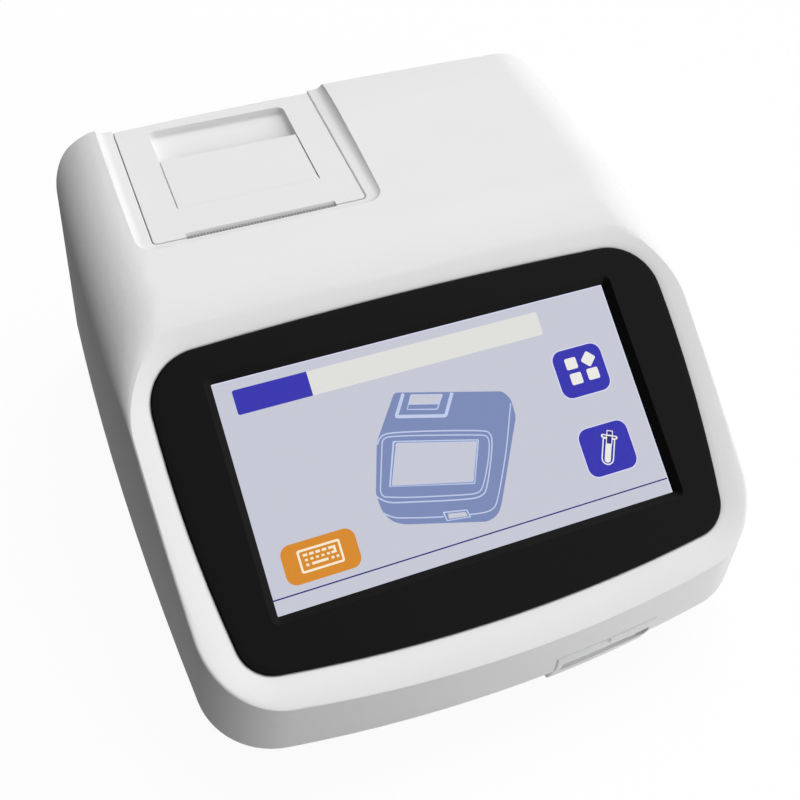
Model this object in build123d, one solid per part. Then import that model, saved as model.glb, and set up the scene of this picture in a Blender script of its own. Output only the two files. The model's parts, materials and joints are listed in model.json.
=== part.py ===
from build123d import *
import os
from math import atan2, cos, degrees, hypot, pi, radians, sin, sqrt, tan

# Bench analyzer for urine test strips, with a touch screen, a thermal printer under a lid
# and a motor-driven strip tray. Millimetres, X right, Y back, Z up, and the origin is on
# the bench under the middle of the footprint.

# Housing outline at the line where its two halves meet, seen from above
parting_height = 20.0
half_width = 115.4
widest_y = 52.0
side_bow = 1550.0
front_y = -120.5
front_bow = 549.0
front_bow_top = 700.0
back_y = 121.2
back_bow = 1700.0
front_corner = 30.0
front_corner_top = 34.0
back_corner = 9.0
side_draft = 4.1
front_draft = 1.3
back_draft = 2.2

# Roof line from the side: level top, round brow, sloping screen face
body_height = 119.8
screen_tilt = 28.0
screen_y = -49.5
screen_z = 81.7
face_lift = 1.6
brow_radius = 70.0
back_fall_y = 98.0
back_fall_radius = 160.0
rim_radius = 1.2
shoulder_radius = 24.0
shoulder_start = -26.0
shoulder_full = 18.0
wall = 2.5

# Lower housing and feet
foot_height = 3.0
lower_step = 0.9
lower_taper = 9.0
tongue_height = 2.0
tongue_thickness = 1.3
tongue_gap = 0.15
foot_radius = 6.0
foot_socket = 1.0
foot_x = 84.0
foot_front_y = -84.0
foot_back_y = 96.0
lower_edge_radius = 2.5

# Housing screws and their posts
post_radius = 4.2
post_places = [(95.0, -70.0), (98.0, 14.0), (98.0, 98.0)]
screw_radius = 1.5
screw_head_radius = 2.8
screw_head_height = 2.2
screw_clearance = 0.2
screw_engagement = 9.0
counterbore_depth = 8.0

# Screen bezel, on the plane of the screen face
bezel_top = 57.0
bezel_top_bow = 1880.0
bezel_bottom = -65.6
bezel_bottom_bow = 606.0
bezel_half_width = 99.3
bezel_side_y = 27.0
bezel_side_bow = 500.0
bezel_top_corner = 20.0
bezel_bottom_corner = 13.5
bezel_side = 0.5
bezel_proud = 1.0
bezel_depth = 3.0
bezel_edge = 3.0
bezel_gap = 0.2
dish_steps = [(0.2, -0.4), (0.9, 0.1), (3.2, 0.65), (6.0, 1.2), (9.2, 1.7)]
screen_width = 154.2
screen_height = 83.3
lip_width = 2.7
lip_corner = 3.0
glass_depth = 1.2
glass_width = 165.0
glass_height = 99.0
glass_thickness = 1.6
panel_thickness = 5.5
ledge_thickness = 3.0
part_gap = 0.3
bracket_thickness = 1.0
bracket_ear_x = 88.0
bracket_ear_y = 38.0
bracket_ear_radius = 4.5
small_screw = 1.2
small_head = 2.2
small_head_height = 1.4
spacer_height = 3.6
board_thickness = 1.6
driver_width = 100.0
driver_height = 60.0

# Printer module, in the plane of its lid: u across, v back from the lid's front edge, w up
printer_x = -40.6
lid_front_y = 43.6
lid_front_z = 118.6
lid_slope = 1.8
lid_half_width = 41.1
lid_gap = 0.35
lid_thickness = 2.2
lid_skirt = 6.5
lid_skirt_thickness = 1.6
lid_back_skirt = 12.0
lid_corner = 1.8
lid_edge = 0.4
lid_back_edge = 2.5
trough_margin = 3.6
trough_cove = 3.6
trough_corner = 4.0
trough_front = 1.6
printer_ledge = 8.0
printer_ledge_width = 9.0
paper_half_width = 28.75
paper_gap = 0.75
plate_thickness = 2.0
hinge_v = 66.0
hinge_w = -6.4
hinge_pin = 1.5
hinge_lug = 4.0
hinge_sweep = 11.1
ear_gap = 0.5
ear_thickness = 4.0
running_gap = 0.05
lid_open = 100.0

# Lid lever and the finger scoop behind it
lever_front = 16.7
lever_back = 47.5
lever_half_width = 27.9
lever_thickness = 2.0
lever_gap = 0.35
lever_pivot_w = -3.2
lever_hub = 3.0
lever_shaft_radius = 1.25
lever_lift = 35.0
scoop_back = 66.7
scoop_corner = 3.0
scoop_cove = 1.7
scoop_depth_back = 2.2
scoop_depth_front = 6.6
scoop_floor = 1.4
scoop_wall = 0.9
cam_reach = 5.4
cam_thickness = 2.4
cam_hub = 2.0
cam_pocket = 0.9
cam_notch = -8.2

# Platen, print head and paper
platen_v = 5.5
platen_w = -9.5
platen_radius = 5.0
platen_shaft = 1.5
bushing_radius = 3.0
bushing_gap = 0.35
head_thickness = 4.0
head_top = -4.5
head_height = 16.5
head_gap = 0.3
spring_leaf = 0.4
cross_wall = 2.0
cross_wall_v = -7.5
slot_half_width = 29.0
slot_bevel = 2.2
tear_tip = 0.4
tooth_pitch = 1.2
tooth_depth = 1.2
tear_thickness = 1.0
tear_skin = 0.2
roll_v = 38.0
roll_w = -33.0
roll_radius = 22.0
core_radius = 8.5
core_bore = 6.0
bay_radius = 24.0

# Feed gears
gear_module = 0.5
platen_teeth = 24
idler_teeth = 36
feed_teeth = 12
gear_width = 3.0
gear_u = -34.6
idler_angle = 8.0
feed_angle = 35.0
feed_motor_radius = 7.5
feed_motor_length = 16.0
motor_shaft = 0.75
idler_pin = 1.25

# Strip tray and its mouth
tray_x = 38.7
tray_half_width = 17.0
tray_bottom = 17.6
tray_height = 4.8
tray_front = -116.4
tray_length = 138.0
tray_travel = 95.0
tray_gap = 0.3
mouth_half_width = 21.5
mouth_low = 8.2
mouth_knee = 22.0
mouth_top = 29.5
mouth_proud = 0.5
mouth_lean = 2.9
mouth_open_half = 18.9
mouth_open_low = 16.9
mouth_open_top = 24.6
mouth_sill = 14.4
mouth_sill_y = -107.4
mouth_flange = 2.0
mouth_flange_y = -112.0
insert_half_width = 13.0
insert_margin = 4.0
insert_depth = 2.6
strip_width = 5.2
strip_depth = 1.2
strip_length = 112.0
pad_length = 8.0
rack_module = 1.0
pinion_teeth = 16
pinion_y = -84.0
pinion_width = 3.0
rack_start = 18.0
guide_floor = 2.0
guide_wall = 2.6
guide_lip = 1.5
guide_front = -108.0
guide_back = 30.0
tray_motor_radius = 12.5
tray_motor_height = 8.6
tray_motor_shaft = 1.0

# Optical head over the tray
head_box_half = 19.0
head_box_front = -60.0
head_box_back = -14.0
head_box_height = 20.0
window_half = 12.0
window_length = 34.0
window_thickness = 1.0

# Main board and the sockets at the back
board_z = 24.0
board_left = -88.0
board_right = 60.0
board_front = 36.0
board_back = 112.0
boss_radius = 3.0
rear_low = 23.0
rear_high = 58.0
rear_half = 92.0
rear_floor_y = 117.0
socket_gap = 0.4
socket_face_y = 117.6
inlet_x = -70.0
usb_x = -44.0
serial_x = -8.0
switch_x = 66.0
switch_z = 42.0
switch_half_width = 10.5
switch_half_height = 7.5
rocker_tilt = 12.0
rocker_pin = 1.0

face = screen_tilt*pi/180
screen_plane = Plane(origin=(0, screen_y, screen_z), x_dir=(1, 0, 0), z_dir=(0, -sin(face), cos(face)))
slope = lid_slope*pi/180
lid_plane = Plane(origin=(printer_x, lid_front_y, lid_front_z), x_dir=(1, 0, 0),
                  z_dir=(0, sin(slope), cos(slope)))
side_plane = Plane(origin=(0, 0, 0), x_dir=(0, 1, 0), z_dir=(1, 0, 0))


def box(x0, x1, y0, y1, z0, z1):
    """A block given by its limits."""
    return Pos((x0 + x1)/2, (y0 + y1)/2, (z0 + z1)/2)*Box(x1 - x0, y1 - y0, z1 - z0)


def rod_x(radius, x0, x1, y, z):
    """A round bar along X."""
    return Pos((x0 + x1)/2, y, z)*Rot(0, 90, 0)*Cylinder(radius, x1 - x0)


def rod_y(radius, y0, y1, x, z):
    """A round bar along Y."""
    return Pos(x, (y0 + y1)/2, z)*Rot(90, 0, 0)*Cylinder(radius, y1 - y0)


def rod_z(radius, z0, z1, x, y):
    """A round bar along Z."""
    return Pos(x, y, (z0 + z1)/2)*Cylinder(radius, z1 - z0)


def slab(points, x0, x1):
    """A side view given by (y, z) points, made thick from x0 to x1."""
    outline = make_face(Polyline(*points, close=True))
    return Pos(x0, 0, 0)*extrude(side_plane.location*outline, x1 - x0)


def both_sides(shape):
    """The shape and its mirror image."""
    return [shape, mirror(shape, Plane.YZ)]


# Housing forms

def outline(z, inset):
    """The plan outline at a height, moved in by an inset."""
    rise = max(z - parting_height, 0.0)
    half = half_width - rise*tan(radians(side_draft)) - inset
    front = front_y + rise*tan(radians(front_draft)) + inset
    back = back_y - rise*tan(radians(back_draft)) - inset
    share = rise/(body_height + 6 - parting_height)
    bow = 1/((1 - share)/front_bow + share/front_bow_top)
    corner = front_corner + (front_corner_top - front_corner)*share
    front_disc = Pos(0, front + bow, z)*Circle(bow)
    back_disc = Pos(0, back - back_bow, z)*Circle(back_bow)
    right_disc = Pos(half - side_bow, widest_y, z)*Circle(side_bow)
    left_disc = Pos(side_bow - half, widest_y, z)*Circle(side_bow)
    shape = front_disc & back_disc & right_disc & left_disc
    corners = shape.vertices().sort_by(Axis.Y)
    shape = fillet(corners[:2], max(corner - inset, 2.0))
    corners = shape.vertices().filter_by(lambda v: v.Y > back - 12.0)
    return fillet(corners, max(back_corner - inset, 1.5))


def roof_points(inset):
    """Where the brow arc starts, its middle and where it ends, as (y, z)."""
    start_y = screen_y - sin(face)*(face_lift - inset)
    start_z = screen_z + cos(face)*(face_lift - inset)
    top = body_height - inset
    radius = brow_radius - inset
    corner_y = start_y + (top - start_z)/tan(face)
    reach = radius*tan(face/2)
    low = (corner_y - reach*cos(face), top - reach*sin(face))
    high = (corner_y + reach, top)
    middle = (high[0] - radius*sin(face/2), top - radius*(1 - cos(face/2)))
    return low, middle, high


def under_roof(inset):
    """Everything below the roof line."""
    low, middle, high = roof_points(inset)
    far = 200.0
    drop = (low[0] + far)*tan(face)
    front = (-far, low[1] - drop)
    fall = back_fall_radius - inset
    soft = (back_fall_y + fall*sin(0.12), high[1] - fall*(1 - cos(0.12)))
    end = (back_fall_y + fall*sin(0.24), high[1] - fall*(1 - cos(0.24)))
    with BuildLine(side_plane) as line:
        Line((-far, -far), front)
        Line(front, low)
        ThreePointArc(low, middle, high)
        Line(high, (back_fall_y, high[1]))
        ThreePointArc((back_fall_y, high[1]), soft, end)
        Line(end, (far, end[1]))
        Line((far, end[1]), (far, -far))
        Line((far, -far), (-far, -far))
    return extrude(make_face(line.line), far, both=True)


def roof_height(y, inset):
    """Height of the roof line at a place along the body."""
    low, middle, high = roof_points(inset)
    if y > back_fall_y:
        fall = back_fall_radius - inset
        return high[1] - fall + sqrt(fall**2 - (y - back_fall_y)**2)
    if y > high[0]:
        return high[1]
    if y < low[0]:
        return low[1] + (y - low[0])*tan(face)
    radius = brow_radius - inset
    return high[1] - radius + sqrt(radius**2 - (high[0] - y)**2)


def side_reach(y, z, inset):
    """Half width of the body at a place and height."""
    half = half_width - (z - parting_height)*tan(radians(side_draft)) - inset
    return half - side_bow + sqrt(side_bow**2 - (y - widest_y)**2)


def shoulder_section(y, inset):
    """What the round shoulder takes off the corner at one place along the body."""
    share = min(1.0, max(0.0, (y - shoulder_start)/(shoulder_full - shoulder_start)))
    share = share*share*(3 - 2*share)
    least = rim_radius - 0.4
    radius = least + (shoulder_radius - least)*share - inset*share
    draft = radians(side_draft)
    top = roof_height(y, inset)
    side = side_reach(y, top, inset)
    reach = radius/tan((pi/2 + draft)/2)
    on_roof = (side - reach, top)
    on_side = (side + reach*sin(draft), top - reach*cos(draft))
    centre = (on_roof[0], top - radius)
    away = hypot(side - centre[0], top - centre[1])
    middle = (centre[0] + (side - centre[0])/away*radius, centre[1] + (top - centre[1])/away*radius)
    lead = 5.0
    slip = radians(3.0)
    roof_end = (on_roof[0] - lead*cos(slip), on_roof[1] + lead*sin(slip))
    side_end = (on_side[0] + lead*sin(draft + slip), on_side[1] - lead*cos(draft + slip))
    out_x = side + shoulder_radius
    out_z = top + shoulder_radius
    with BuildLine(Plane(origin=(0, y, 0), x_dir=(1, 0, 0), z_dir=(0, -1, 0))) as line:
        ThreePointArc(on_roof, middle, on_side)
        Line(on_side, side_end)
        Line(side_end, (out_x, side_end[1]))
        Line((out_x, side_end[1]), (out_x, out_z))
        Line((out_x, out_z), (roof_end[0], out_z))
        Line((roof_end[0], out_z), roof_end)
        Line(roof_end, on_roof)
    return make_face(line.line)


def shoulder_cutter(inset):
    """The rounding of the right shoulder, tight beside the screen and wide at the back."""
    return loft([shoulder_section(shoulder_start - 6.0 + 8.0*i, inset) for i in range(21)])


def upper_form(inset):
    """The upper housing as a full body: the outside, or the hollow when inset."""
    low = outline(parting_height, inset)
    high = outline(body_height + 6, inset)
    body = loft([low, high], ruled=True) & under_roof(inset)
    if inset > 0:
        body = body + extrude(outline(parting_height, inset), -2.0)
    else:
        def is_rim(edge):
            ends = edge.vertices()
            level = min(ends[0].Z, ends[1].Z) > parting_height + 2
            return level and edge.geom_type != GeomType.LINE
        body = fillet(body.edges().filter_by(is_rim), rim_radius)
    for cutter in both_sides(shoulder_cutter(inset)):
        body = body - cutter
    return body


def lower_form(inset):
    """The lower housing as a full body, drawn in towards the bench."""
    top = outline(parting_height, lower_step + inset)
    low = foot_height + inset
    share = (parting_height - low)/(parting_height - foot_height)
    bottom = Pos(0, 0, low - parting_height)*outline(parting_height,
                                                     lower_step + lower_taper*share + inset)
    body = loft([bottom, top], ruled=True)
    if inset == 0:
        body = fillet(body.faces().sort_by(Axis.Z)[0].edges(), lower_edge_radius)
    return body


def all_posts():
    """Both sides' screw places."""
    return [(side*x, y) for x, y in post_places for side in (1, -1)]


def feet_places():
    """Centres of the four feet."""
    return [(side*foot_x, y) for y in (foot_front_y, foot_back_y) for side in (1, -1)]


def mouth_block(clearance):
    """The room that the tray mouth fills in both housings."""
    half = mouth_half_width + clearance
    low = mouth_low - clearance
    block = box(tray_x - half, tray_x + half, front_y - 5, mouth_flange_y + clearance, low,
                mouth_top + clearance)
    return block + box(tray_x - half, tray_x + half, front_y - 5, mouth_sill_y + clearance, low,
                       mouth_sill + clearance)


# Screen

def bezel_outline(offset):
    """The bowed outline of the bezel, in the plane of the screen."""
    half = bezel_half_width + offset
    top = bezel_top + offset
    bottom = bezel_bottom - offset
    shape = Pos(0, top - bezel_top_bow)*Circle(bezel_top_bow)
    shape = shape & Pos(0, bottom + bezel_bottom_bow)*Circle(bezel_bottom_bow)
    shape = shape & Pos(half - bezel_side_bow, bezel_side_y)*Circle(bezel_side_bow)
    shape = shape & Pos(bezel_side_bow - half, bezel_side_y)*Circle(bezel_side_bow)
    corners = shape.vertices().sort_by(Axis.Y)
    shape = fillet(corners[:2], bezel_bottom_corner + offset)
    corners = shape.vertices().filter_by(lambda v: v.Y > bezel_top - 10.0)
    return fillet(corners, bezel_top_corner + offset)


def on_screen(shape):
    """Moves a shape from the screen's own plane to its place."""
    return screen_plane.location*shape


def screen_bezel():
    low = Pos(0, 0, -bezel_depth)*extrude(bezel_outline(0), bezel_depth + bezel_side)
    crown = loft([Pos(0, 0, bezel_side)*bezel_outline(0), Pos(0, 0, bezel_side + 0.3)*bezel_outline(-0.5),
                  Pos(0, 0, bezel_proud)*bezel_outline(-bezel_edge)], ruled=True)
    glass_half = glass_width/2 + part_gap
    glass_high = glass_height/2 + part_gap
    pocket = box(-glass_half, glass_half, -glass_high, glass_high, -bezel_depth - 1, -glass_depth)
    deep = glass_depth + bezel_proud
    sill = RectangleRounded(screen_width, screen_height, 0.4)
    brink = RectangleRounded(screen_width + 2*lip_width, screen_height + 2*lip_width, lip_corner)
    lip = loft([Pos(0, 0, -glass_depth)*sill, Pos(0, 0, bezel_proud)*brink], ruled=True)
    through = Pos(0, 0, -glass_depth - 0.5)*extrude(sill, deep)
    return low + crown - pocket - lip - through


def touch_glass():
    half = glass_width/2
    high = glass_height/2
    return box(-half, half, -high, high, -glass_depth - glass_thickness, -glass_depth)


def display_panel():
    half = glass_width/2
    high = glass_height/2
    top = -glass_depth - glass_thickness
    body = box(-half, half, -high, high, top - panel_thickness, top)
    rim = box(-half + 3, half - 3, -high + 3, high - 3, top - panel_thickness - 1,
              top - panel_thickness + 0.6)
    return body - rim


def bracket_level():
    """Underside of the display panel's case, where the bracket lies."""
    return -glass_depth - glass_thickness - panel_thickness


def ear_places():
    return [(sx*bracket_ear_x, sy*bracket_ear_y) for sx in (1, -1) for sy in (1, -1)]


def driver_places():
    half = driver_width/2 - 5
    high = driver_height/2 - 5
    return [(sx*half, sy*high) for sx in (1, -1) for sy in (1, -1)]


def display_bracket():
    top = bracket_level()
    low = top - bracket_thickness
    half = glass_width/2
    high = glass_height/2
    plate = box(-half, half, -high, high, low, top)
    plate = plate - box(-half + 12, -driver_width/2 - 6, -high + 14, high - 14, low - 1, top + 1)
    plate = plate - box(driver_width/2 + 6, half - 12, -high + 14, high - 14, low - 1, top + 1)
    for x, y in ear_places():
        side = 1 if x > 0 else -1
        strap = box(min(side*half, x), max(side*half, x), y - bracket_ear_radius,
                    y + bracket_ear_radius, low, top)
        plate = plate + strap + rod_z(bracket_ear_radius, low, top, x, y)
    for x, y in ear_places():
        plate = plate - rod_z(small_screw + screw_clearance, low - 1, top + 1, x, y)
    for x, y in driver_places():
        plate = plate + rod_z(2.5, low - spacer_height, low, x, y)
    return plate


def display_board():
    top = bracket_level() - bracket_thickness - spacer_height
    half = driver_width/2
    high = driver_height/2
    board = box(-half, half, -high, high, top - board_thickness, top)
    under = top - board_thickness
    chips = [(-24, 6, 9, 9), (6, 4, 7, 7), (30, -12, 6, 4)]
    for x, y, a, b in chips:
        board = board + box(x - a, x + a, y - b, y + b, under - 1.4, under)
    for x in (-32, 28):
        board = board + box(x - 10, x + 10, high - 9, high - 3, under - 3.0, under)
    return board


def bracket_screws():
    top = bracket_level()
    low = top - bracket_thickness
    return [rod_z(small_screw, low, top + 4.0, x, y) + rod_z(small_head, low - small_head_height,
                                                             low, x, y)
            for x, y in ear_places()]


# Printer module, built in the lid's own plane

def on_lid(shape):
    """Moves a shape from the printer's own axes to its place."""
    return lid_plane.location*shape


plate_in = paper_half_width + paper_gap
plate_out = plate_in + plate_thickness
ear_in = plate_out + ear_gap
cross_front = cross_wall_v
idler_v = platen_v + gear_module*(platen_teeth + idler_teeth)/2*sin(radians(idler_angle))
idler_w = platen_w - gear_module*(platen_teeth + idler_teeth)/2*cos(radians(idler_angle))
feed_v = idler_v - gear_module*(idler_teeth + feed_teeth)/2*cos(radians(feed_angle))
feed_w = idler_w - gear_module*(idler_teeth + feed_teeth)/2*sin(radians(feed_angle))


def trough_cutter():
    """The low, coved tray round the lid that the housing's top is sunk to."""
    half = lid_half_width + trough_margin + trough_cove
    front = -trough_front - trough_cove
    length = 110.0
    body = box(-half, half, front, front + length, 0, 12)
    uprights = body.edges().filter_by(Axis.Z).group_by(Axis.Y)[0]
    body = fillet(uprights, trough_corner + trough_cove)
    rim = body.faces().sort_by(Axis.Z)[0].edges()
    rim = [e for e in rim if e.center().Y < front + length - 1]
    return fillet(rim, trough_cove)


def lid_plan(grow):
    """The lid's plan with round front corners, as a sketch that runs out at the back."""
    half = lid_half_width + grow
    shape = Pos(0, (90 - grow)/2)*Rectangle(2*half, 90 + grow)
    return fillet(shape.vertices().sort_by(Axis.Y)[:2], lid_corner + grow)


def lid_opening():
    """What the housing leaves out for the lid, its swing and the paper slot."""
    half = lid_half_width + lid_gap
    hole = box(-half, half, -lid_gap, hinge_v, -printer_ledge - 4, 6)
    uprights = hole.edges().filter_by(Axis.Z).group_by(Axis.Y)[0]
    hole = fillet(uprights, lid_corner + lid_gap)
    hole = hole + box(-half, half, hinge_v - 1, hinge_v + 40, hinge_w, 6)
    hole = hole + rod_x(hinge_sweep, -half, half, hinge_v, hinge_w)
    slot = box(-slot_half_width, slot_half_width, tear_tip - tooth_depth - 0.4, 3, -6, 6)
    rebate = box(-slot_half_width - 0.1, slot_half_width + 0.1, cross_front - 0.1, 3, -6, -tear_skin)
    brink = loft([Pos(0, 0, -lid_edge)*lid_plan(lid_gap),
                  Pos(0, 0, 0.1)*lid_plan(lid_gap + lid_edge + 0.1)], ruled=True)
    return hole + slot + rebate + brink


def printer_ledge_block():
    """Thick rim beside the lid that carries the printer's frame."""
    inner = lid_half_width + lid_gap
    outer = inner + printer_ledge_width
    return box(-outer, outer, -6, 84, -printer_ledge, 4) - box(-inner - 0.1 + 4, inner + 0.1 - 4,
                                                               -8, 90, -20, -2.2)


def wing_places():
    """Screw places of the printer's frame."""
    u = lid_half_width + lid_gap + 3.6
    return [(side*u, v) for side in (1, -1) for v in (22.0, 48.0)]


def printer_frame():
    top = -5.0
    low = roll_w - bay_radius - plate_thickness
    plate = [(cross_front, top), (cross_front, -24), (-11, -26), (-11, -40), (12, -42),
             (roll_v - bay_radius - plate_thickness, roll_w), (roll_v - 14, low), (roll_v + 14, low),
             (64, roll_w), (64, -18), (56, -15), (56, top),
             (22, top), (22, cam_notch), (10, cam_notch), (10, top)]
    plates = slab(plate, plate_in, plate_out)
    neck = slab([(50, -9.6), (hinge_v - 2, -9.6), (hinge_v - 2, hinge_w + 3.2), (50, hinge_w + 3.2)],
                plate_in, plate_out)
    lug = rod_x(hinge_lug, plate_in, plate_out, hinge_v, hinge_w)
    neck = neck + lug - rod_x(hinge_pin + running_gap, plate_in - 1, plate_out + 1, hinge_v, hinge_w)
    side = plates - rod_x(hinge_sweep, 20, 50, hinge_v, hinge_w) + neck
    side = side - rod_x(bushing_radius + bushing_gap, plate_in - 1, plate_out + 1, platen_v, platen_w)
    slot = bushing_radius + bushing_gap
    side = side - box(plate_in - 1, plate_out + 1, platen_v - slot, platen_v + slot, platen_w, 0)
    frame = side + mirror(side, Plane.YZ)
    # curved paper bay between the side plates
    outer = bay_radius + plate_thickness
    bay = rod_x(outer, -plate_in, plate_in, roll_v, roll_w)
    bay = bay + box(-plate_in, plate_in, roll_v - outer, roll_v + outer, roll_w, -18)
    bay = bay - rod_x(bay_radius, -plate_in - 1, plate_in + 1, roll_v, roll_w)
    bay = bay - box(-plate_in - 1, plate_in + 1, roll_v - bay_radius, roll_v + bay_radius, roll_w, 0)
    bay = bay - box(-plate_in - 1, plate_in + 1, 0, roll_v, -25.0, 0)
    frame = frame + (bay - rod_x(hinge_sweep, -50, 50, hinge_v, hinge_w))
    wall_box = box(-plate_in, plate_in, cross_front, cross_front + cross_wall, -23.5, head_top)
    shelf = box(-plate_in, plate_in, cross_front, 0.2, head_top - head_height - 1.6,
                head_top - head_height)
    frame = frame + wall_box + shelf
    for u, v in wing_places():
        out = u + 3.4 if u > 0 else u - 3.4
        start = plate_out - 0.5 if u > 0 else -plate_out + 0.5
        wing = box(min(out, start), max(out, start), v - 4, v + 4, -printer_ledge - 3, -printer_ledge)
        frame = frame + wing - rod_z(small_screw + screw_clearance, -printer_ledge - 4,
                                     -printer_ledge + 1, u, v)
    return frame - rod_x(motor_shaft + 1.2, -plate_out - 1, -plate_in + 1, feed_v, feed_w)


def frame_screws():
    top = -printer_ledge
    return [rod_z(small_screw, top - 3, top + 4.5, u, v)
            + rod_z(small_head, top - 3 - small_head_height, top - 3, u, v) for u, v in wing_places()]


def lid_slab():
    """The lid's outer form, cut from the housing's own form so that its back is flush."""
    body = Pos(0, 0, -lid_back_skirt)*extrude(lid_plan(0), lid_back_skirt - lid_edge)
    mid = Pos(0, 0, -lid_edge*0.3)*lid_plan(-lid_edge*0.3)
    return body + loft([Pos(0, 0, -lid_edge)*lid_plan(0), mid, lid_plan(-lid_edge)], ruled=True)


def printer_lid(outside):
    half = lid_half_width
    skin = lid_plane.location.inverse()*outside
    form = lid_slab() & skin
    inner_back = hinge_v + hinge_lug + 0.6
    form = form - box(-half + lid_skirt_thickness, half - lid_skirt_thickness, -1, inner_back, -30,
                      -lid_thickness)
    form = form - box(-half - 1, half + 1, -1, hinge_v, -30, -lid_skirt)
    form = form - box(-half + lid_skirt_thickness + 4, half - lid_skirt_thickness - 4, -1,
                      lid_skirt_thickness,
                      -30, -lid_thickness)
    back_edge = [e for e in form.edges().filter_by(lambda e: e.center().Y > 70 and e.center().Z > -0.5)
                 if abs(e.bounding_box().size.X) > 60]
    form = fillet(back_edge, lid_back_edge)
    # bevelled lip behind the paper slot
    form = form - box(-slot_half_width - 0.05, slot_half_width + 0.05, -1, 0.6, -20, 1)
    bevel = slab([(0.5, 1), (slot_bevel, 1), (slot_bevel, 0), (0.6, -lid_thickness),
                  (0.5, -lid_thickness)],
                 -slot_half_width - 0.05, slot_half_width + 0.05)
    form = form - bevel
    # lever opening, hinge cove and finger scoop
    open_half = lever_half_width + lever_gap
    pivot_v = lever_front + lever_gap + 0.7
    form = form - box(-open_half, open_half, pivot_v, lever_back + 1, -20, 1)
    form = form - rod_x(lever_hub + lever_gap, -open_half, open_half, pivot_v, lever_pivot_w)
    pan = scoop(scoop_wall, scoop_floor) & box(-60, 60, lever_back - 3, 90, -20, -0.8)
    form = form + pan - scoop(0.0, 0.0)
    pocket = box(open_half + 1.6, open_half + 2.2 + cam_thickness, pivot_v - cam_reach - 2.0,
                 pivot_v + 3.2,
                 -20, -cam_pocket)
    form = form - pocket - mirror(pocket, Plane.YZ)
    # lugs for the lever shaft
    lug = slab([(pivot_v - 3, -lid_thickness + 0.2), (pivot_v - 2.6, lever_pivot_w - 2.4),
                (pivot_v + 2.6, lever_pivot_w - 2.4), (pivot_v + 3, -lid_thickness + 0.2)],
               open_half, open_half + 1.6)
    lug = lug - rod_x(lever_shaft_radius + running_gap, 20, 40, pivot_v, lever_pivot_w)
    # lugs for the platen's bushings
    carry = slab([(platen_v - 4.4, -lid_thickness + 0.2), (platen_v - 4.4, platen_w),
                  (platen_v - 3.2, platen_w - 4),
                  (platen_v + 3.2, platen_w - 4), (platen_v + 4.4, platen_w),
                  (platen_v + 4.4, -lid_thickness + 0.2)],
                 ear_in, ear_in + 2.0)
    carry = carry - rod_x(bushing_radius, 20, 40, platen_v, platen_w)
    # hinge ears
    ear = rod_x(hinge_lug, ear_in + 0.6, ear_in + 0.6 + ear_thickness, hinge_v, hinge_w)
    ear = ear + box(ear_in + 0.6, ear_in + 0.6 + ear_thickness, hinge_v - hinge_lug, inner_back + 1,
                    hinge_w, -lid_thickness + 0.2)
    ear = ear - rod_x(hinge_pin, 20, 60, hinge_v, hinge_w)
    for piece in (lug, carry, ear):
        form = form + piece + mirror(piece, Plane.YZ)
    reach = open_half + 1.7
    return form - rod_x(lever_shaft_radius + running_gap, -reach, reach, pivot_v, lever_pivot_w)


def scoop(side_skin, floor_skin):
    """The finger scoop's hollow, grown by a skin; its floor falls under the lever's back edge."""
    half = lever_half_width + lever_gap + side_skin
    plan = box(-half, half, lever_back - 3, scoop_back + side_skin, -20, 5)
    uprights = plan.edges().filter_by(Axis.Z).group_by(Axis.Y)[-1]
    plan = fillet(uprights, scoop_corner + side_skin)
    side = slab([(lever_back - 4, 6), (lever_back - 4, -scoop_depth_front - floor_skin),
                 (scoop_back + 4, -scoop_depth_back - floor_skin),
                 (scoop_back + 4, 6)], -half - 1, half + 1)
    hollow = plan & side
    floor = hollow.faces().filter_by(GeomType.PLANE).sort_by(lambda f: f.center().Z)[0]
    rim = [e for e in floor.edges() if e.center().Y > lever_back - 2.9]
    return fillet(rim, scoop_cove + side_skin)


pivot_v = lever_front + lever_gap + 0.7


def lid_lever():
    top = lever_pivot_w + lever_hub
    hub = rod_x(lever_hub, -lever_half_width, lever_half_width, pivot_v, lever_pivot_w)
    flap = box(-lever_half_width, lever_half_width, pivot_v, lever_back, top - lever_thickness, top)
    tip = flap.edges().filter_by(Axis.X).sort_by(Axis.Y)[-2:]
    flap = fillet(tip, lever_thickness/2 - 0.05)
    sides = [e for e in flap.edges().filter_by(Axis.Y) if e.center().Z > top - 0.1]
    flap = chamfer(sides, 0.3)
    rib = box(-lever_half_width + 3, lever_half_width - 3, lever_back - 12, lever_back - 10, top - 3.6,
              top - lever_thickness)
    return (hub + flap + rib) - rod_x(lever_shaft_radius, -40, 40, pivot_v, lever_pivot_w)


def lever_shaft():
    end = lever_half_width + lever_gap + 1.6 + 0.3 + cam_thickness
    return rod_x(lever_shaft_radius, -end, end, pivot_v, lever_pivot_w)


def lever_cams():
    start = lever_half_width + lever_gap + 1.6 + 0.3
    body = rod_x(cam_hub, start, start + cam_thickness, pivot_v, lever_pivot_w)
    reach = cam_reach - 1.2
    tip = rod_x(1.2, start, start + cam_thickness, pivot_v - reach, lever_pivot_w - 0.9)
    web = slab([(pivot_v, lever_pivot_w + 1.4), (pivot_v, lever_pivot_w - 2.2),
                (pivot_v - reach, lever_pivot_w - 2.1), (pivot_v - reach, lever_pivot_w + 0.3)],
               start, start + cam_thickness)
    cam = body + tip + web - rod_x(lever_shaft_radius, 20, 40, pivot_v, lever_pivot_w)
    return both_sides(cam)


def lid_hinge_pins():
    pin = rod_x(hinge_pin, plate_in + 0.1, ear_in + 0.6 + ear_thickness, hinge_v, hinge_w)
    return both_sides(pin)


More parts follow.
